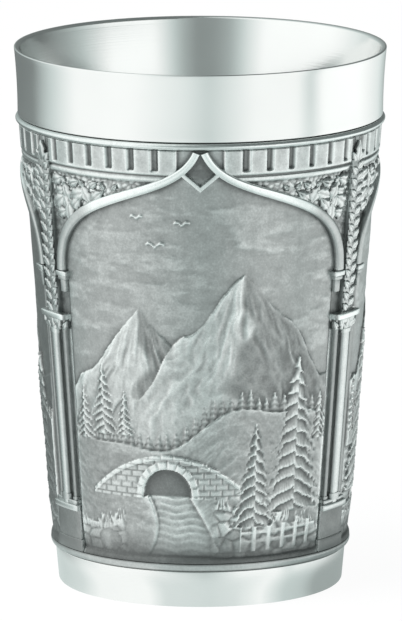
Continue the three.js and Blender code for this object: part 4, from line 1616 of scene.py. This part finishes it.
def spandrel_leaves():
    """Leaves on the right-hand side of an arch, as (along, up, angle, length)."""
    draw = np.random.default_rng(5)
    leaves = []
    for row, up in enumerate(np.arange(LEAF_FOOT, SPANDREL_TOP - 0.6, LEAF_GAP)):
        start = beside_arch(up) + 0.3 + LEAF_GAP * 0.5 * (row % 2)
        for along in np.arange(start, SPANDREL_END - 0.3, 1.1 * LEAF_GAP):
            angle = 128 - 2.2 * (SPANDREL_END - along) + (34 if (row + len(leaves)) % 2 else -42)
            angle += draw.uniform(-16, 16)
            length = LEAF_LENGTH * draw.uniform(0.8, 1.15)
            heading = Vector((math.cos(math.radians(angle)), math.sin(math.radians(angle))))
            room = (SPANDREL_TOP - up) / max(0.2, heading.y)
            length = min(length, max(SHORTEST_LEAF, room))
            foot = (along - 0.4 * length * heading.x, up - 0.4 * length * heading.y)
            leaves.append((*foot, angle, length))
    return leaves


leaves = spandrel_leaves()
for bay in range(BAYS):
    bm = bmesh.new()
    for number, (along, up, angle, length) in enumerate(leaves):
        size = (length, LEAF_SLENDER * length, 0.62 + 0.12 * (number % 3), -SPANDREL_DEPTH)
        add_leaf(bm, (along, up), angle, *size)
        add_leaf(bm, (-along, up), 180 - angle, *size)
    finish_piece(f"spandrel_leaves_{bay + 1}", bm, bright_pewter, "bright_pewter",
                 turn=bay_turn(bay))
print("leaves on each side of an arch:", len(leaves))

# %% [markdown]
# ## The clustered columns
#
# A column covers each seam between two plates: a pedestal, a base ring, one thick shaft between
# two thin ones, a capital, the two imposts that the arches stand on, and a pinnacle with curled
# leaves. It is put together flat from bevelled blocks and flat-topped rods, and then rolled into
# its place. Their crowns are rubbed bright, and their walls keep the patina, which draws a dark
# line beside every moulding.

# %% Blocks and rods on flat ground
FLOOR_LEVEL = -SEAM_DEPTH - SINK
ROLL_CELL = 1.6


def add_block(bm, middle, half, low, high, front, tone, edge):
    """A bevelled block, cut into strips so that it can be rolled."""
    patina_layer(bm)
    left, right = middle - half, middle + half
    size = Matrix.Diagonal((right - left, high - low, front - FLOOR_LEVEL, 1))
    place = ((left + right) / 2, (low + high) / 2, (front + FLOOR_LEVEL) / 2)
    cube = bmesh.ops.create_cube(bm, size=1, matrix=Matrix.Translation(place) @ size)["verts"]
    lines = list({e for v in cube for e in v.link_edges})
    bmesh.ops.bevel(bm, geom=lines, offset=edge, offset_type="OFFSET", segments=2, profile=0.5,
                    affect="EDGES", material=-1)
    cuts = max(0, round((right - left) / ROLL_CELL) - 1)
    for cut in range(cuts):
        across = left + (right - left) * (cut + 1) / (cuts + 1)
        part = {g for v in unpainted(bm) for g in (v, *v.link_edges, *v.link_faces)}
        bmesh.ops.bisect_plane(bm, geom=list(part), plane_co=(across, 0, 0), plane_no=(1, 0, 0))
    for vert in unpainted(bm):
        crown = min(1.0, max(0.0, 1 + (vert.co.z - front) / edge))
        paint(bm, vert, WALL_TONE + (tone - WALL_TONE) * crown)


def add_rod(bm, middle, width, low, high, proud, tone):
    patina_layer(bm)
    turn = Matrix.Rotation(-math.pi / 2, 4, "X")
    bmesh.ops.create_cone(bm, cap_ends=True, segments=16, radius1=1, radius2=1, depth=high - low,
                          matrix=Matrix.Translation((middle, (low + high) / 2, 0)) @ turn)
    for vert in unpainted(bm):
        side, out = cushion(vert.co.x - middle), cushion(vert.co.z)
        vert.co.x = middle + side * width / 2
        vert.co.z = out * proud if out > -0.01 else FLOOR_LEVEL
        paint(bm, vert, tone * wall_tone(out))


print("blocks and rods start", round(FLOOR_LEVEL, 2), "mm below the ground")

# %% [markdown]
# ## Putting a column together
#
# From the pedestal to the imposts a column is a stack of parts, so it is written as tables: one
# line for each block or rod, with its size, its height out of the ground and how bright it is
# rubbed. Parts that come in pairs are made for both sides in one loop.

# %% Parts of a column
PEDESTAL_TOP = PLATE_BOTTOM + 8.4
RING = 1.3
NECK_HALF = COLUMN_HALF - 0.7
IMPOST_OFFSET = 4.1
SHAFT_WIDTH = 2.5
COLONNETTE_OFFSET = 3.0
SHAFT_LOW, SHAFT_HIGH = PEDESTAL_TOP + RING, CAPITAL_TOP - RING
# Blocks on the axis: half width, from, to, front, tone, bevel.
BLOCKS = [
    (COLUMN_HALF, PLATE_BOTTOM, PEDESTAL_TOP + 0.3, 0.85, 0.33, 0.18),
    (COLUMN_HALF + 0.35, PLATE_BOTTOM, PLATE_BOTTOM + 2.6, 1.05, 0.24, 0.25),
    (COLUMN_HALF, PEDESTAL_TOP, SHAFT_LOW, 1.5, 0.82, 0.25),
    (NECK_HALF, SHAFT_LOW - 0.1, SHAFT_LOW + 0.9, 1.1, 0.7, 0.25),
    (NECK_HALF, SHAFT_HIGH, CAPITAL_TOP, 1.6, 1.0, 0.25),
    (2.4, SHAFT_HIGH - 0.9, SHAFT_HIGH + 0.3, 1.3, 0.8, 0.25),
]
# Blocks of an impost, like those on the axis.
IMPOST = [
    (1.5, SPRING - 1.1, SPRING, 1.3, 0.86, 0.2),
    (1.1, SPRING - 1.9, SPRING - 1.0, 1.1, 0.64, 0.25),
    (0.7, SPRING - 4.4, SPRING - 1.8, 0.85, 0.58, 0.25),
]
# Rods of the shaft and of a thin column beside it: width, from, to, proud, tone.
SHAFT = [
    (SHAFT_WIDTH, SHAFT_LOW, SHAFT_HIGH, 1.2, 0.8),
    (SHAFT_WIDTH + 0.8, SHAFT_LOW + 0.6, SHAFT_LOW + 1.9, 1.35, 0.72),
    (SHAFT_WIDTH + 0.6, SHAFT_HIGH - 3.0, SHAFT_HIGH - 2.2, 1.35, 0.85),
]
COLONNETTE = [
    (1.15, SHAFT_LOW, SHAFT_HIGH, 0.6, 0.46),
    (1.6, SHAFT_LOW + 0.5, SHAFT_LOW + 1.5, 0.75, 0.55),
]
print("parts of a column:", len(BLOCKS) + len(SHAFT) + 2 * (len(COLONNETTE) + len(IMPOST)))

# %% Column
# Leaves under the capital: offset, drop, lean in degrees, length, width, lift, base.
CAPITAL_LEAVES = [(1.2, 2.4, 30, 2.8, 1.8, 0.5, 0.7), (2.8, 2.2, 38, 2.4, 1.5, 0.5, 0.4)]
MIDDLE_DROP = 2.4
MIDDLE_LEAF = (3.2, 1.9, 0.5, 0.9)


def add_column(bm):
    for block in BLOCKS:
        add_block(bm, 0, *block)
    for rod in SHAFT:
        add_rod(bm, 0, *rod)
    for side in (-1, 1):
        for rod in COLONNETTE:
            add_rod(bm, side * COLONNETTE_OFFSET, *rod)
        for offset, drop, lean, *size in CAPITAL_LEAVES:
            add_leaf(bm, (side * offset, SHAFT_HIGH - drop), 90 - side * lean, *size)
        for block in IMPOST:
            add_block(bm, side * IMPOST_OFFSET, *block)
    add_leaf(bm, (0, SHAFT_HIGH - MIDDLE_DROP), 90, *MIDDLE_LEAF)


print("leaves under a capital:", 2 * len(CAPITAL_LEAVES) + 1)

# %% [markdown]
# ## The pinnacles
#
# Above its capital each column runs up between two arches as a slim pinnacle, with pairs of curled
# leaves on its face and a larger leaf at its head. It is a block with leaves laid on it, made in
# the same mesh as the column, because the real one is cast with it.

# %% Pinnacles
PINNACLE_HEAD = PLATE_TOP - 0.4
PINNACLE_FRONT = 0.85
LEAF_PAIRS = 13
PAIR_LEAN, HEAD_LEAN = 48, 40
# Length, width, lift and base of the leaves in pairs, at the head and beside the head.
PAIR_LEAF = (2.5, 1.7, 0.42, PINNACLE_FRONT - 0.1)
HEAD_LEAF = (4.6, 2.4, 0.6, PINNACLE_FRONT - 0.3)
HEAD_SIDE_LEAF = (2.8, 1.7, 0.5, PINNACLE_FRONT - 0.3)


def add_pinnacle(bm):
    low, high = CAPITAL_TOP, PINNACLE_HEAD
    add_block(bm, 0, PINNACLE_HALF, low - 0.2, high - 4.2, PINNACLE_FRONT, 0.62, 0.2)
    add_block(bm, 0, SEAM_HALF, high - 4.4, PLATE_TOP, FRIEZE_PROUD / 2, 0.6, 0.1)
    for pair in range(LEAF_PAIRS):
        up = low + 0.6 + (high - low - 7.4) * pair / (LEAF_PAIRS - 1)
        for side in (-1, 1):
            add_leaf(bm, (side * 0.15, up + 0.5 * side), 90 - side * PAIR_LEAN, *PAIR_LEAF)
    add_leaf(bm, (0, high - 5.0), 90, *HEAD_LEAF)
    for side in (-1, 1):
        add_leaf(bm, (side * 0.2, high - 4.8), 90 - side * HEAD_LEAN, *HEAD_SIDE_LEAF)


for bay in range(BAYS):
    bm = bmesh.new()
    add_column(bm)
    add_pinnacle(bm)
    finish_piece(f"column_{bay + 1}", bm, bright_pewter, "bright_pewter",
                 f"clustered_column_{bay + 1}", turn=bay_turn(bay + 0.5))
